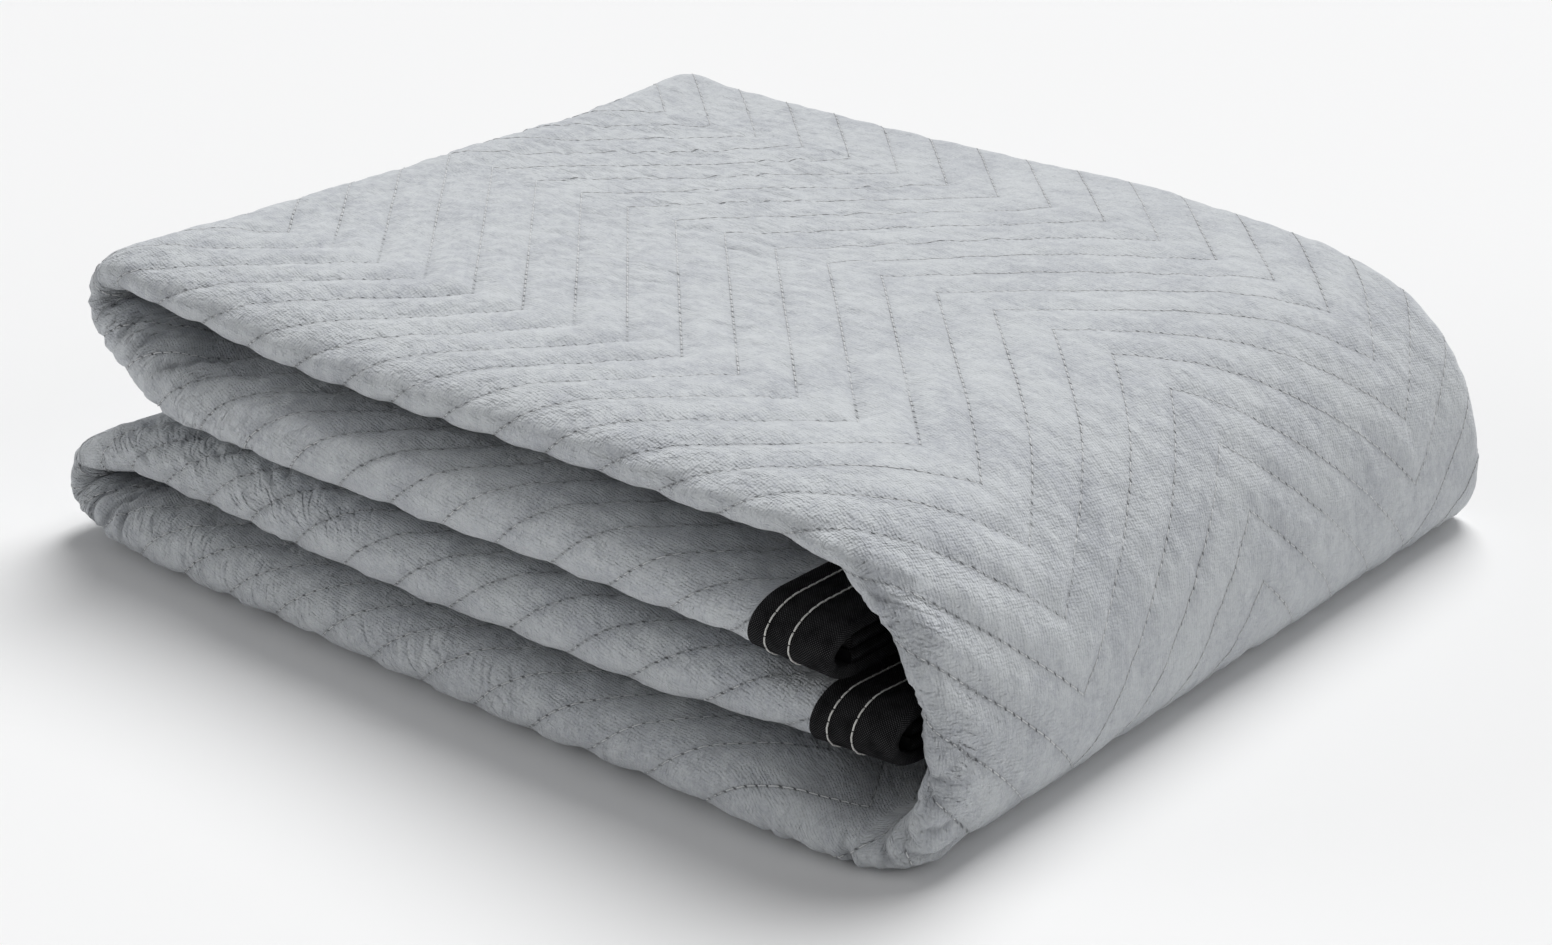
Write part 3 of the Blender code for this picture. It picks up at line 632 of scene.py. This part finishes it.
def facing_out(points, faces, ends=0):
    """The faces, all turned round where they hold a negative volume.

    The volume is the sum over fans about each face's first corner. The last
    faces, as many as ends says, are turned with the others but not measured.
    """
    measured = faces[: len(faces) - ends]
    size = max(len(face) for face in measured)
    corner = points[np.array([face + [face[-1]] * (size - len(face)) for face in measured])]
    fan = np.cross(corner[:, 1:-1] - corner[:, :1], corner[:, 2:] - corner[:, :1])
    volume = (fan.sum(axis=1) * corner[:, 0]).sum() / 6.0
    return [face[::-1] for face in faces] if volume < 0 else faces


def add_piece(name, points, faces, over=None):
    """A smooth-shaded mesh object at the origin; over gives each point's run and width as UV."""
    mesh = bpy.data.meshes.new(name)
    mesh.from_pydata(points, [], faces)
    if over is not None:
        corner = np.empty(len(mesh.loops), dtype=np.int32)
        mesh.loops.foreach_get("vertex_index", corner)
        mesh.uv_layers.new(name="cloth")
        mesh.uv_layers["cloth"].data.foreach_set("uv", over[corner].astype(np.float32).ravel())
    mesh.shade_smooth()
    made = bpy.data.objects.new(name, mesh)
    bpy.context.scene.collection.objects.link(made)
    return made


def add_values(piece, name, values):
    """One number for each of the piece's points, under a name that its material reads."""
    piece.data.attributes.new(name, "FLOAT", "POINT")
    piece.data.attributes[name].data.foreach_set("value", values.astype(np.float32))


FULL_CREASE = 0.0016  # a crease this deep gets the darkest painted shade
END_FACES = 2  # the two closed ends of the tube

cloth_points = rings[used]
cloth_over = np.column_stack([ring_run[used], ring_width[used]])
cloth_faces = facing_out(cloth_points, cloth_faces, END_FACES)
cloth = add_piece("quilted_cloth_detail", cloth_points, cloth_faces, cloth_over)
# painted shade: each point's crease depth, which the felt reads to darken its creases
add_values(cloth, "crease", np.clip(-creases(*cloth_over.T) / FULL_CREASE, 0.0, 1.0))
add_values(cloth, "across", cloth_over[:, 1] - slip(cloth_over[:, 0]))
triangles = sum(len(face) - 2 for face in cloth_faces)
print("cloth", triangles, "triangles")

# %% [markdown]
# ## Thread
#
# The rows are sewn with a pale thread. Each stitch comes up from one needle hole, lies on the
# felt and goes down at the next. All stitches are short five-sided tubes, placed by the cloth's
# own two distances and worked out together as one mesh.

# %% Stand on the outer face


def on_face(s, width, lift):
    """Points of the outer face at the places s and widths, raised by lift over its relief.

    Each place has its own section.  Its widths are shifted by ten metres from
    the last one's, so that one call of interp reads them all.
    """
    y, h = across(s, 1, half_ply(s))
    out_y, out_h = outward(y, h)
    apart = 10.0 * np.arange(len(s))
    known = (widths(y, h) + (slip(run_of(s)) + apart)[:, None]).ravel()
    y, h, out_y, out_h = (np.interp(width + apart, known, v.ravel()) for v in (y, h, out_y, out_h))
    lift = lift + relief(run_of(s), width) * (1.0 - taped(s))
    return lay(s, (y + lift * out_y)[:, None], (h + lift * out_h)[:, None])[:, 0]


# %% One stitch after another
THREAD = 0.00027  # radius
SHARES = np.array([0.04, 0.16, 0.5, 0.84, 0.96])  # along one stitch
RISES = np.array([-0.0006, 0.00012, 0.00025, 0.00012, -0.0006])  # over the felt
SIDES = 5


def thread_mesh(lines, radius, sides=SIDES):
    """Five-sided tubes along lines of points, all in one mesh: points and faces.

    A ring is the line's point plus radius times (cos a times side + sin a times
    up), with side and up square to the line.
    """
    along = np.gradient(lines, axis=1)
    along /= np.maximum(np.linalg.norm(along, axis=2, keepdims=True), 1e-9)
    side = np.cross(along, np.array([0.31, 0.22, 0.92]))
    side /= np.maximum(np.linalg.norm(side, axis=2, keepdims=True), 1e-9)
    up = np.cross(side, along)
    angle = 2 * np.pi * np.arange(sides) / sides
    ring = np.cos(angle)[:, None] * side[:, :, None] + np.sin(angle)[:, None] * up[:, :, None]
    points = lines[:, :, None] + radius * ring
    count, long = lines.shape[:2]
    first = (np.arange(count) * long * sides)[:, None, None]
    i, j = np.meshgrid(np.arange(long - 1), np.arange(sides), indexing="ij")
    k = (j + 1) % sides
    quads = np.stack([i * sides + j, i * sides + k, (i + 1) * sides + k, (i + 1) * sides + j], -1)
    faces = (first + quads.reshape(1, -1, 4)).reshape(-1, 4).tolist()
    ends = np.arange(sides)[None, :]
    faces += (first[:, :, 0] + ends[:, ::-1]).tolist()
    faces += (first[:, :, 0] + (long - 1) * sides + ends).tolist()
    return points.reshape(-1, 3), faces


def stitch_lines(run, width, next_run, next_width):
    """The line of each stitch from (run, width) to the next hole, as points in space."""
    t = SHARES[None, :]
    runs = (run[:, None] * (1 - t) + next_run[:, None] * t).ravel()
    across_it = (width[:, None] * (1 - t) + next_width[:, None] * t).ravel()
    lift = np.broadcast_to(RISES, (len(run), len(RISES))).ravel()
    return on_face(place_of(runs), across_it, lift).reshape(len(run), len(SHARES), 3)


# %% Where the rows can be seen
FOLD_ROOM = 0.003  # kept from the point where a fold starts


def folds_at(s, width):
    """Widths over the sections at the places s, with those where the folds are.

    They are the start and the end of the near fold, and the start of the back one.
    """
    at, width = strip_at(s), width - slip(run_of(s))
    front = POINT_Y - at[:, NEAR] - at[:, NOSE] - FOLD_ROOM
    round_it = 1.5 * PITCH_SHARE * at[:, THICK] + at[:, NOSE]
    back = at[:, FAR] - BACK_BEND - POINT_Y - FOLD_ROOM
    return width, front, front + 2.2 * round_it, -back


def shown(s, width):
    """Which outer-face points can be seen: the top and the wrap, the near fold and the back."""
    width, front, under, back = folds_at(s, width)
    top = (s > place("upper turn, low")) & (s < place("wrap, corner"))
    near_fold = (width > front - 0.014) & (width < under + 0.012)
    back_fold = (width > back - 0.022) & (width < back + 0.006)
    bound = np.minimum(s, END - s) < TAPE_WIDTH + 0.002
    return (near_fold | back_fold | (top & (width < front) & (width > back - 0.022))) & ~bound


FIRST_HOLE, LAST_HOLE = -74, 71
FIRST_ROW, LAST_ROW = -24, 51
END_ROOM = 0.04  # run without rows beside each cut end

hole_width = np.arange(FIRST_HOLE, LAST_HOLE + 1) * STITCH_WIDTH
row_number = np.arange(FIRST_ROW, LAST_ROW + 1)
grid_width = np.broadcast_to(hole_width[None, :], (len(row_number), len(hole_width)))
grid_run = ROW_FROM + ROW_PITCH * row_number[:, None] + LEAN * turned(grid_width)
inside = (grid_run > OUTER_RUN[0] + END_ROOM) & (grid_run < OUTER_RUN[-1] - END_ROOM)
seen = inside & shown(place_of(grid_run.ravel()), grid_width.ravel()).reshape(grid_run.shape)
pair = seen[:, :-1] & seen[:, 1:]
quilting = stitch_lines(
    grid_run[:, :-1][pair], grid_width[:, :-1][pair], grid_run[:, 1:][pair], grid_width[:, 1:][pair]
)
thread_points, thread_faces = thread_mesh(quilting, THREAD)
thread_faces = facing_out(thread_points, thread_faces)
thread = add_piece("quilting_thread", thread_points, thread_faces)
print(len(quilting), "stitches of", len(thread_faces) // len(quilting), "faces")

# %% [markdown]
# ## The bound ends
#
# A woven tape is folded round each cut end and sewn down with two rows of thick off-white
# thread. The tape follows the same plies as the cloth, a little way out from it.

# %% The tape
COVER = TAPE_GAP + TAPE_THICK
TAPE_STEPS = np.linspace(1.0, 0.0, 12)[:-1]  # from the tape's rim to the cut end
TIP_TURN = np.linspace(0.0, np.pi, 7)


def past_end(s, y, h):
    """lay(), run straight on for places just past the strip's end."""
    within = np.clip(s, 0.0, END)
    points = lay(within, y, h)
    normal = facing(within)
    past = (s - within)[:, None]
    points[..., 0] += past * normal[:, 1:2]
    points[..., 2] -= past * normal[:, 0:1]
    return points


def tape_skin(end, inward, lift):
    """One side of the tape, lift off the cloth: from a rim, over the tip, to the other rim.

    Along the flat parts the place runs from rim to end.  Round the tip the
    place goes lift times sin a past the end, and the height is cos a times the
    flat part's.
    """
    flat = end + inward * TAPE_WIDTH * TAPE_STEPS
    s = np.concatenate([flat, end - inward * lift * np.sin(TIP_TURN), flat[::-1]])
    level = np.concatenate([np.ones(len(flat)), np.cos(TIP_TURN), -np.ones(len(flat))])
    thick = strip_at(np.array([end]))[0, THICK]
    half = (TAPED_SHARE / 2 + lift / thick) * level
    y, h = across(np.clip(s, 0.0, END), 1, half[:, None], top=16)
    y[:, [0, -1]] -= lift
    return past_end(s, y, h)


def end_walls(count, size):
    """Walls that close the tape at the cloth's two long edges, over the skin and over the lining.

    Points i and count / 2 - 1 - i of a skin face each other across the cloth,
    so a wall is a row of quads from one side to the other.  A last quad joins
    the two walls at the rim.
    """
    half = count // 2
    step = np.arange(half // 2)
    walls = []
    for first in (0, half):
        near, far = first + step, first + half - 1 - step
        walls.append(np.stack([near[:-1], near[1:], far[1:], far[:-1]], -1))
    walls.append(np.array([[0, half - 1, half, count - 1]]))
    quads = np.concatenate(walls)
    return (quads[:, ::-1] * size).tolist() + (quads * size + size - 1).tolist()


def tape_piece(name, end, inward):
    """The whole tape: its outer skin and its lining, joined at both rims and both free edges."""
    skin = np.concatenate([tape_skin(end, inward, COVER), tape_skin(end, inward, TAPE_GAP)[::-1]])
    count, size = skin.shape[:2]
    along = np.linalg.norm(np.diff(skin[:, 0], axis=0, append=skin[:1, 0]), axis=1)
    over = np.concatenate([[0.0], np.cumsum(along)[:-1]])
    beside = np.linalg.norm(np.diff(skin[0], axis=0), axis=1)
    beside = np.concatenate([[0.0], np.cumsum(beside)])
    i, j = np.meshgrid(np.arange(count), np.arange(size - 1), indexing="ij")
    k = (i + 1) % count
    quads = np.stack([i * size + j, i * size + j + 1, k * size + j + 1, k * size + j], -1)
    faces = quads.reshape(-1, 4).tolist()
    faces += end_walls(count, size)
    uv = np.stack(np.meshgrid(over, beside, indexing="ij"), -1).reshape(-1, 2)
    points = skin.reshape(-1, 3)
    return add_piece(name, points, facing_out(points, faces), uv)


ENDS = {"upper": (0.0, 1.0), "lower": (END, -1.0)}
tapes = {name: tape_piece(f"{name}_binding", *ends) for name, ends in ENDS.items()}
print("tapes", {name: len(tape.data.polygons) for name, tape in tapes.items()})

# %% Two rows of stitches on each tape
TAPE_ROWS = (0.0085, 0.0200)  # from the tape's rim
TAPE_THREAD = 0.00036  # radius
TAPE_STITCH = 0.0046  # from one stitch to the next
TAPE_RISES = np.array([0.00015, 0.00030, 0.00040, 0.00030, 0.00015])  # over the tape
TAPE_STITCH_SHARE = 0.97  # of each step, so that two stitches don't touch
TAPE_WIDTHS = np.arange(-0.285, 0.29, TAPE_STITCH)  # where the stitches start


def shown_on_tape(s, width):
    """Which stitches of a tape can be seen: round the near fold and at the back."""
    width, front, under, back = folds_at(s, width)
    near_fold = (width > front - 0.060) & (width < under + 0.016)
    return near_fold | ((width > back - 0.022) & (width < back + 0.020))


def tape_lines(end, inward, from_rim):
    """The stitches of one row: places straight across the strip, widths one stitch apart."""
    s = end + inward * (TAPE_WIDTH - from_rim)
    start = TAPE_WIDTHS[shown_on_tape(np.full(len(TAPE_WIDTHS), s), TAPE_WIDTHS)]
    width = (start[:, None] + TAPE_STITCH * TAPE_STITCH_SHARE * SHARES[None, :]).ravel()
    lift = COVER + np.broadcast_to(TAPE_RISES, (len(start), len(SHARES))).ravel()
    points = on_face(np.full(len(width), s), width, lift)
    return points.reshape(len(start), len(SHARES), 3)


tape_threads = {}
for name, (end, inward) in ENDS.items():
    rows = np.concatenate([tape_lines(end, inward, row) for row in TAPE_ROWS])
    points, faces = thread_mesh(rows, TAPE_THREAD)
    faces = facing_out(points, faces)
    tape_threads[name] = add_piece(f"{name}_binding_thread", points, faces)
    print(name, "binding has", len(rows), "stitches in view")

# %% [markdown]
# ## Materials
#
# The felt is pale and cool, with darker clouds, short fibres and a fine pattern of pressed dots.
# Its pattern follows the cloth, so it reads the run and width that the mesh carries as UV. The
# needle holes come from the same sums as the stitches. Painted shade darkens the creases, the
# seam lines, the valleys beside them and the needle holes. The tape's weave works in the same way,
# with painted glints on it.

# %% A small kit for node materials


def new_material(name, roughness, sheen=0.0):
    """A node material with its own shader, whose plain values sit on its sockets."""
    made = bpy.data.materials.new(name)
    made.use_nodes = True
    shader = made.node_tree.nodes["Principled BSDF"]
    shader.inputs["Roughness"].default_value = roughness
    shader.inputs["Specular IOR Level"].default_value = 0.25
    shader.inputs["Sheen Weight"].default_value = sheen
    shader.inputs["Sheen Roughness"].default_value = 0.6
    return made, made.node_tree, shader


def node(tree, kind, values=(), **settings):
    """A node with settings, and with its inputs set to numbers or joined to other sockets."""
    made = tree.nodes.new(kind)
    for key, value in settings.items():
        setattr(made, key, value)
    for key, value in dict(values).items():
        if isinstance(value, bpy.types.NodeSocket):
            tree.links.new(value, made.inputs[key])
        else:
            made.inputs[key].default_value = value
    return made


def sums(tree, operation, a, b=0.0, c=0.0):
    """One step of arithmetic."""
    return node(tree, "ShaderNodeMath", {0: a, 1: b, 2: c}, operation=operation).outputs[0]


def times(tree, a, b):
    """The product of two sockets or numbers."""
    return sums(tree, "MULTIPLY", a, b)


def noise(tree, where, scale, detail=2.0, roughness=0.5):
    """Cloudy noise from 0 to 1, scale clouds to a metre."""
    values = {"Vector": where, "Scale": scale, "Detail": detail, "Roughness": roughness}
    return node(tree, "ShaderNodeTexNoise", values).outputs[0]


def between(tree, value, low, high, to_low, to_high):
    """The value, taken from one range to another and held at its ends, along a soft curve."""
    values = {0: value, 1: low, 2: high, 3: to_low, 4: to_high}
    made = node(tree, "ShaderNodeMapRange", values, interpolation_type="SMOOTHSTEP")
    return made.outputs[0]


def blend(tree, share, first, second):
    """The first colour where share is 0 and the second where it is 1."""
    values = {0: share, 6: first, 7: second}
    return node(tree, "ShaderNodeMix", values, data_type="RGBA").outputs[2]


def far_from(tree, where, middle, reach):
    """The distance from a middle, as a share of the reach in run and in width."""
    values = {0: where, 1: (*middle, 0.0), 3: (*reach, 1.0)}
    laid = node(tree, "ShaderNodeMapping", values, vector_type="TEXTURE")
    far = node(tree, "ShaderNodeVectorMath", {0: laid.outputs[0]}, operation="LENGTH")
    return far.outputs["Value"]


def bump(tree, height, distance, strength, under=None):
    """Small relief from a height, on top of another bump."""
    values = {"Height": height, "Distance": distance, "Strength": strength}
    if under is not None:
        values["Normal"] = under
    return node(tree, "ShaderNodeBump", values).outputs[0]


# %% Grey felt
FELT_PALE = (0.575, 0.600, 0.620, 1.0)
FELT_DARK = (0.420, 0.440, 0.480, 1.0)
FLECK_PALE = (0.640, 0.660, 0.670, 1.0)
# painted shade in the creases and along the crinkles
CREASE_SHADE = (0.170, 0.180, 0.200, 1.0)
# painted shade in the valley beside each row
SEAM_VALLEY_SHADE = (0.260, 0.270, 0.300, 1.0)
# painted shade along each row
SEAM_LINE_SHADE = (0.200, 0.210, 0.220, 1.0)
# painted shade in the needle holes
HOLE_SHADE = (0.030, 0.032, 0.036, 1.0)
LIP_FROM_WIDTH, LIP_TO_WIDTH = 0.140, 0.205  # where the near lip begins, and is reached

felt, tree, shader = new_material("grey felt", 0.93, sheen=0.25)
flat = node(tree, "ShaderNodeTexCoord").outputs["UV"]
split = node(tree, "ShaderNodeSeparateXYZ", {0: flat})
run_in, width_in = split.outputs[0], split.outputs[1]
across_in = node(tree, "ShaderNodeAttribute", attribute_name="across").outputs["Fac"]
crease_shade_in = node(tree, "ShaderNodeAttribute", attribute_name="crease").outputs["Fac"]
at_lip = between(tree, across_in, LIP_FROM_WIDTH, LIP_TO_WIDTH, 0.0, 1.0)

clouds = noise(tree, flat, 24.0, 6.0, 0.70)
mottle = noise(tree, flat, 190.0, 4.0, 0.75)
fibre = noise(tree, flat, 780.0, 3.0, 0.7)
tone = sums(tree, "MULTIPLY_ADD", clouds, 0.50, times(tree, mottle, 0.50))
tone = between(tree, tone, 0.36, 0.60, 0.0, 1.0)
colour = blend(tree, tone, FELT_DARK, FELT_PALE)
fleck = between(tree, fibre, 0.36, 0.66, 0.0, 1.0)
colour = blend(tree, times(tree, fleck, 0.42), colour, FLECK_PALE)

# %% Crinkles, gathered in the patches of folds, with painted shade along them and in the creases
CRINKLE_LONG, CRINKLE_BROAD = 2.4, 0.60  # of one crinkle, as shares of fold to fold

crinkle, lines = 0.0, 0.0
for at_run, at_width, half_run, half_width, way, size, _, most in PATCHES.values():
    middle = (at_run, at_width + slip(at_run))
    values = {0: flat, 1: (*middle, 0.0), 2: (0.0, 0.0, np.radians(way))}
    values[3] = (CRINKLE_LONG * size, CRINKLE_BROAD * size, 1.0)
    laid = node(tree, "ShaderNodeMapping", values, vector_type="TEXTURE")
    crease = sums(tree, "SUBTRACT", noise(tree, laid.outputs[0], 1.0, 1.0, 0.5), 0.5)
    crease = sums(tree, "ABSOLUTE", crease)
    rim = far_from(tree, flat, middle, (half_run, half_width))
    share = between(tree, rim, 0.50, 1.25, most, 0.0)
    valley = between(tree, crease, 0.0, 0.12, 0.0, 1.0)
    # painted shade: a thin dark line where each crinkle folds
    line = between(tree, crease, 0.0, 0.035, 1.0, 0.0)
    crinkle = sums(tree, "MULTIPLY_ADD", valley, share, crinkle)
    lines = sums(tree, "MULTIPLY_ADD", line, share, lines)
gathered = between(tree, noise(tree, flat, 38.0, 2.0, 0.5), 0.42, 0.60, 0.20, 1.0)
crinkle = times(tree, crinkle, gathered)
lines = times(tree, times(tree, lines, gathered), 0.55)
# painted shade in the creases, from each point's crease depth
lines = sums(tree, "MAXIMUM", lines, between(tree, crease_shade_in, 0.15, 1.0, 0.0, 0.62))
colour = blend(tree, lines, colour, CREASE_SHADE)

# %% Needle holes and the seams, with painted shade in the holes, along each row and beside it
SLANT = float(np.hypot(1.0, LEAN))  # of a row: its length for each metre of width
WORN_AT, WORN_REACH = (0.10, -0.05), (0.19, 0.15)  # the rubbed part of the top

zigzag = sums(tree, "PINGPONG", width_in, LEG)
ahead = sums(tree, "SUBTRACT", run_in, sums(tree, "MULTIPLY_ADD", zigzag, LEAN, ROW_FROM))
away = sums(tree, "DIVIDE", sums(tree, "PINGPONG", ahead, ROW_PITCH / 2), SLANT)
beside = times(tree, sums(tree, "PINGPONG", width_in, STITCH_WIDTH / 2), SLANT)
beside = times(tree, beside, beside)
from_hole = sums(tree, "SQRT", sums(tree, "MULTIPLY_ADD", away, away, beside))
patchy = between(tree, noise(tree, flat, 14.0, 4.0, 0.65), 0.40, 0.60, 0.30, 1.0)
unworn = between(tree, far_from(tree, flat, WORN_AT, WORN_REACH), 0.45, 1.15, 0.35, 1.0)
patchy = times(tree, patchy, unworn)
patchy = sums(tree, "MAXIMUM", patchy, times(tree, at_lip, 0.75))
seam_shade_strength = times(tree, patchy, sums(tree, "MULTIPLY_ADD", at_lip, 0.5, 1.0))
hole = times(tree, between(tree, from_hole, 0.00030, 0.00085, 1.0, 0.0), patchy)
# painted shade: a thin dark line along each row and a broad soft one in the valley beside it, stronger
# at the near lip
seam = times(tree, between(tree, away, 0.0001, 0.0011, 0.36, 0.0), seam_shade_strength)
seam_valley_shade = times(tree, between(tree, away, 0.0, 0.0060, 0.13, 0.0), seam_shade_strength)
colour = blend(tree, seam_valley_shade, colour, SEAM_VALLEY_SHADE)
colour = blend(tree, seam, colour, SEAM_LINE_SHADE)
# painted shade in the needle holes
colour = blend(tree, times(tree, hole, 0.62), colour, HOLE_SHADE)
tree.links.new(colour, shader.inputs["Base Color"])

# %% The felt's pressed dots, fibres and puckers, as relief
DOT_PITCH = 0.0021
DOT_TURN = 0.6  # radians from the run's way
DOT_SHIFT = 0.0022  # how far noise bends the pattern of dots

warp = node(tree, "ShaderNodeTexNoise", {"Vector": flat, "Scale": 180.0}).outputs["Color"]
bent = node(tree, "ShaderNodeVectorMath", {0: warp, 3: DOT_SHIFT}, operation="SCALE").outputs[0]
slant = node(tree, "ShaderNodeMapping", {0: flat, 2: (0.0, 0.0, DOT_TURN)}).outputs[0]
slant = node(tree, "ShaderNodeVectorMath", {0: slant, 1: bent}, operation="ADD").outputs[0]
slant = node(tree, "ShaderNodeSeparateXYZ", {0: slant})
turns = 2 * np.pi / DOT_PITCH
dot_u, dot_v = (sums(tree, "SINE", times(tree, slant.outputs[k], turns)) for k in (0, 1))
dots = times(tree, dot_u, dot_v)

drawn = {0: times(tree, width_in, 220.0), 1: times(tree, away, 80.0), 2: times(tree, run_in, 25.0)}
drawn = node(tree, "ShaderNodeCombineXYZ", drawn).outputs[0]
pucker = noise(tree, drawn, 1.0, 2.0, 0.5)
pucker = times(tree, pucker, between(tree, away, 0.0005, 0.0100, 1.0, 0.0))
pucker = times(tree, pucker, sums(tree, "MULTIPLY_ADD", at_lip, 0.6, 0.25))

ridges = noise(tree, flat, 420.0, 4.0, 0.65)
rumple = noise(tree, flat, 85.0, 4.0, 0.62)
rougher = sums(tree, "MULTIPLY_ADD", at_lip, 0.8, 0.9)
rumple, ridges, dots = (times(tree, height, rougher) for height in (rumple, ridges, dots))
under = bump(tree, rumple, 0.0040, 0.6)
under = bump(tree, crinkle, 0.0019, 0.9, under)
under = bump(tree, pucker, 0.0030, 0.55, under)
under = bump(tree, ridges, 0.0009, 0.5, under)
under = bump(tree, dots, 0.00020, 0.4, under)
under = bump(tree, times(tree, hole, -1.0), 0.0008, 0.8, under)
tree.links.new(under, shader.inputs["Normal"])
cloth.data.materials.append(felt)
print("grey felt has", len(felt.node_tree.nodes), "nodes")

# %% Pale quilting thread and off-white binding thread


def thread_material(name, dark, pale, clouds, fibres, depth, strength):
    """Thread: two near colours in small clouds, under a fine relief of fibres."""
    made, tree, shader = new_material(name, 0.6, sheen=0.2)
    where = node(tree, "ShaderNodeTexCoord").outputs["Object"]
    colour = blend(tree, noise(tree, where, clouds), (*dark, 1.0), (*pale, 1.0))
    tree.links.new(colour, shader.inputs["Base Color"])
    relief_in = bump(tree, noise(tree, where, fibres), depth, strength)
    tree.links.new(relief_in, shader.inputs["Normal"])
    return made


PALE_THREAD = ((0.60, 0.61, 0.62), (0.74, 0.75, 0.755))
OFF_WHITE_THREAD = ((0.58, 0.57, 0.54), (0.80, 0.79, 0.76))

pale_look = thread_material("pale quilting thread", *PALE_THREAD, 400.0, 2500.0, 0.0002, 0.5)
white_look = thread_material("off-white binding thread", *OFF_WHITE_THREAD, 350.0, 2200.0, 0.0003, 0.6)
thread.data.materials.append(pale_look)
for piece in tape_threads.values():
    piece.data.materials.append(white_look)

# %% Black woven tape, with painted glints on its weave
RIB = 0.00115  # from one thick thread of the weave to the next
TAPE_DARK = (0.0045, 0.0045, 0.0050, 1.0)
TAPE_PALE = (0.0100, 0.0100, 0.0110, 1.0)
TAPE_PAINTED_GLINT = (0.0850, 0.0850, 0.0880, 1.0)

tape_look, tree, shader = new_material("black woven tape", 0.85)
shader.inputs["Specular IOR Level"].default_value = 0.06
flat = node(tree, "ShaderNodeTexCoord").outputs["UV"]
split = node(tree, "ShaderNodeSeparateXYZ", {0: flat})
turns = 2 * np.pi / RIB
rib, pick = (sums(tree, "SINE", times(tree, split.outputs[k], turns)) for k in (0, 1))
weave = times(tree, rib, pick)
uneven = noise(tree, flat, 120.0, 3.0, 0.6)
# painted highlight: glints where the weave's threads cross
painted_glint = between(tree, times(tree, weave, uneven), 0.20, 0.42, 0.0, 1.0)
colour = blend(tree, painted_glint, blend(tree, uneven, TAPE_DARK, TAPE_PALE), TAPE_PAINTED_GLINT)
tree.links.new(colour, shader.inputs["Base Color"])
tree.links.new(bump(tree, weave, 0.00022, 0.8), shader.inputs["Normal"])
for piece in tapes.values():
    piece.data.materials.append(tape_look)
print("black tape has", len(tape_look.node_tree.nodes), "nodes")

# %% [markdown]
# ## Join the pieces to the frame
#
# The fine pieces stand for the plain solids, which stay for collision. The whole blanket is one
# body.

# %% Ride and replace
everything = [cloth, thread, *tapes.values(), *tape_threads.values()]
for piece in everything:
    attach(piece, "root")
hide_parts("quilted_cloth")
for name in ENDS:
    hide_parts(f"end_binding_{name}")
print(len(everything), "pieces ride on one body")

# %% [markdown]
# ## Floor, light and camera
#
# The photo is a studio picture on white ground, in broad soft light. Three wide suns stand for it:
# a strong one from above and behind, a weak one from the right, and a low one from the left that
# lights the folded edges. The camera's distance and lens come from the photo's edges.

# %% Floor
FLOOR_REACH = 12.0
FLOOR_DROP = 0.0004  # under the blanket, so that the two don't meet in one plane

corners = [(FLOOR_REACH * x, FLOOR_REACH * y, 0.0) for x, y in ((-1, -1), (1, -1), (1, 1), (-1, 1))]
floor_mesh = bpy.data.meshes.new("floor")
floor_mesh.from_pydata(corners, [], [(0, 1, 2, 3)])
floor = bpy.data.objects.new("floor", floor_mesh)
floor.location.z = -FLOOR_DROP
bpy.context.scene.collection.objects.link(floor)
floor_look, tree, shader = new_material("pale floor", 0.9)
shader.inputs["Base Color"].default_value = (0.88, 0.88, 0.88, 1.0)
floor_mesh.materials.append(floor_look)

# %% Light
LAMP_DISTANCE = 3.0
LIGHTS = {
    # name: the way towards it, its width in degrees, strength
    "key": ((-0.28, 0.76, 1.0), 34.0, 2.98),
    "right": ((1.0, 0.10, 0.36), 50.0, 0.48),
    "left": ((-0.95, -0.68, 0.10), 44.0, 1.20),
}


def stand(data, back, target, distance):
    """A lamp or camera at target plus distance times back, which looks towards the target.

    Its three axes are a level side, the cross product of back and side, and back.
    """
    back = np.array(back) / np.linalg.norm(back)
    side = np.cross([0.0, 0.0, 1.0], back)
    side /= np.linalg.norm(side)
    turn = Matrix(np.column_stack([side, np.cross(back, side), back]).tolist()).to_4x4()
    held = bpy.data.objects.new(data.name, data)
    held.matrix_world = Matrix.Translation((target + distance * back).tolist()) @ turn
    bpy.context.scene.collection.objects.link(held)
    return held


for name, (way, broad, strength) in LIGHTS.items():
    lamp = bpy.data.lights.new(name, "SUN")
    lamp.angle = np.radians(broad)
    lamp.energy = strength
    stand(lamp, way, np.zeros(3), LAMP_DISTANCE)

world = bpy.data.worlds.new("studio")
bpy.context.scene.world = world
world.use_nodes = True
background = world.node_tree.nodes["Background"]
background.inputs["Color"].default_value = (0.97, 0.98, 1.0, 1.0)
background.inputs["Strength"].default_value = 0.215
bpy.context.scene.view_settings.view_transform = "Standard"
print(len(LIGHTS), "suns")

# %% Camera
AZIMUTH, ELEVATION = np.radians(40.3854), np.radians(23.0703)
DISTANCE = 1.1847
TARGET = np.array([0.05875, -0.05391, 0.06])
LENS, SENSOR_WIDTH = 61.0, 36.0  # in millimetres

level = np.cos(ELEVATION)
towards = (np.sin(AZIMUTH) * level, -np.cos(AZIMUTH) * level, np.sin(ELEVATION))
camera_data = bpy.data.cameras.new("camera")
camera_data.lens = LENS
camera_data.sensor_width = SENSOR_WIDTH
bpy.context.scene.camera = stand(camera_data, towards, TARGET, DISTANCE)
print("camera", DISTANCE, "m away")
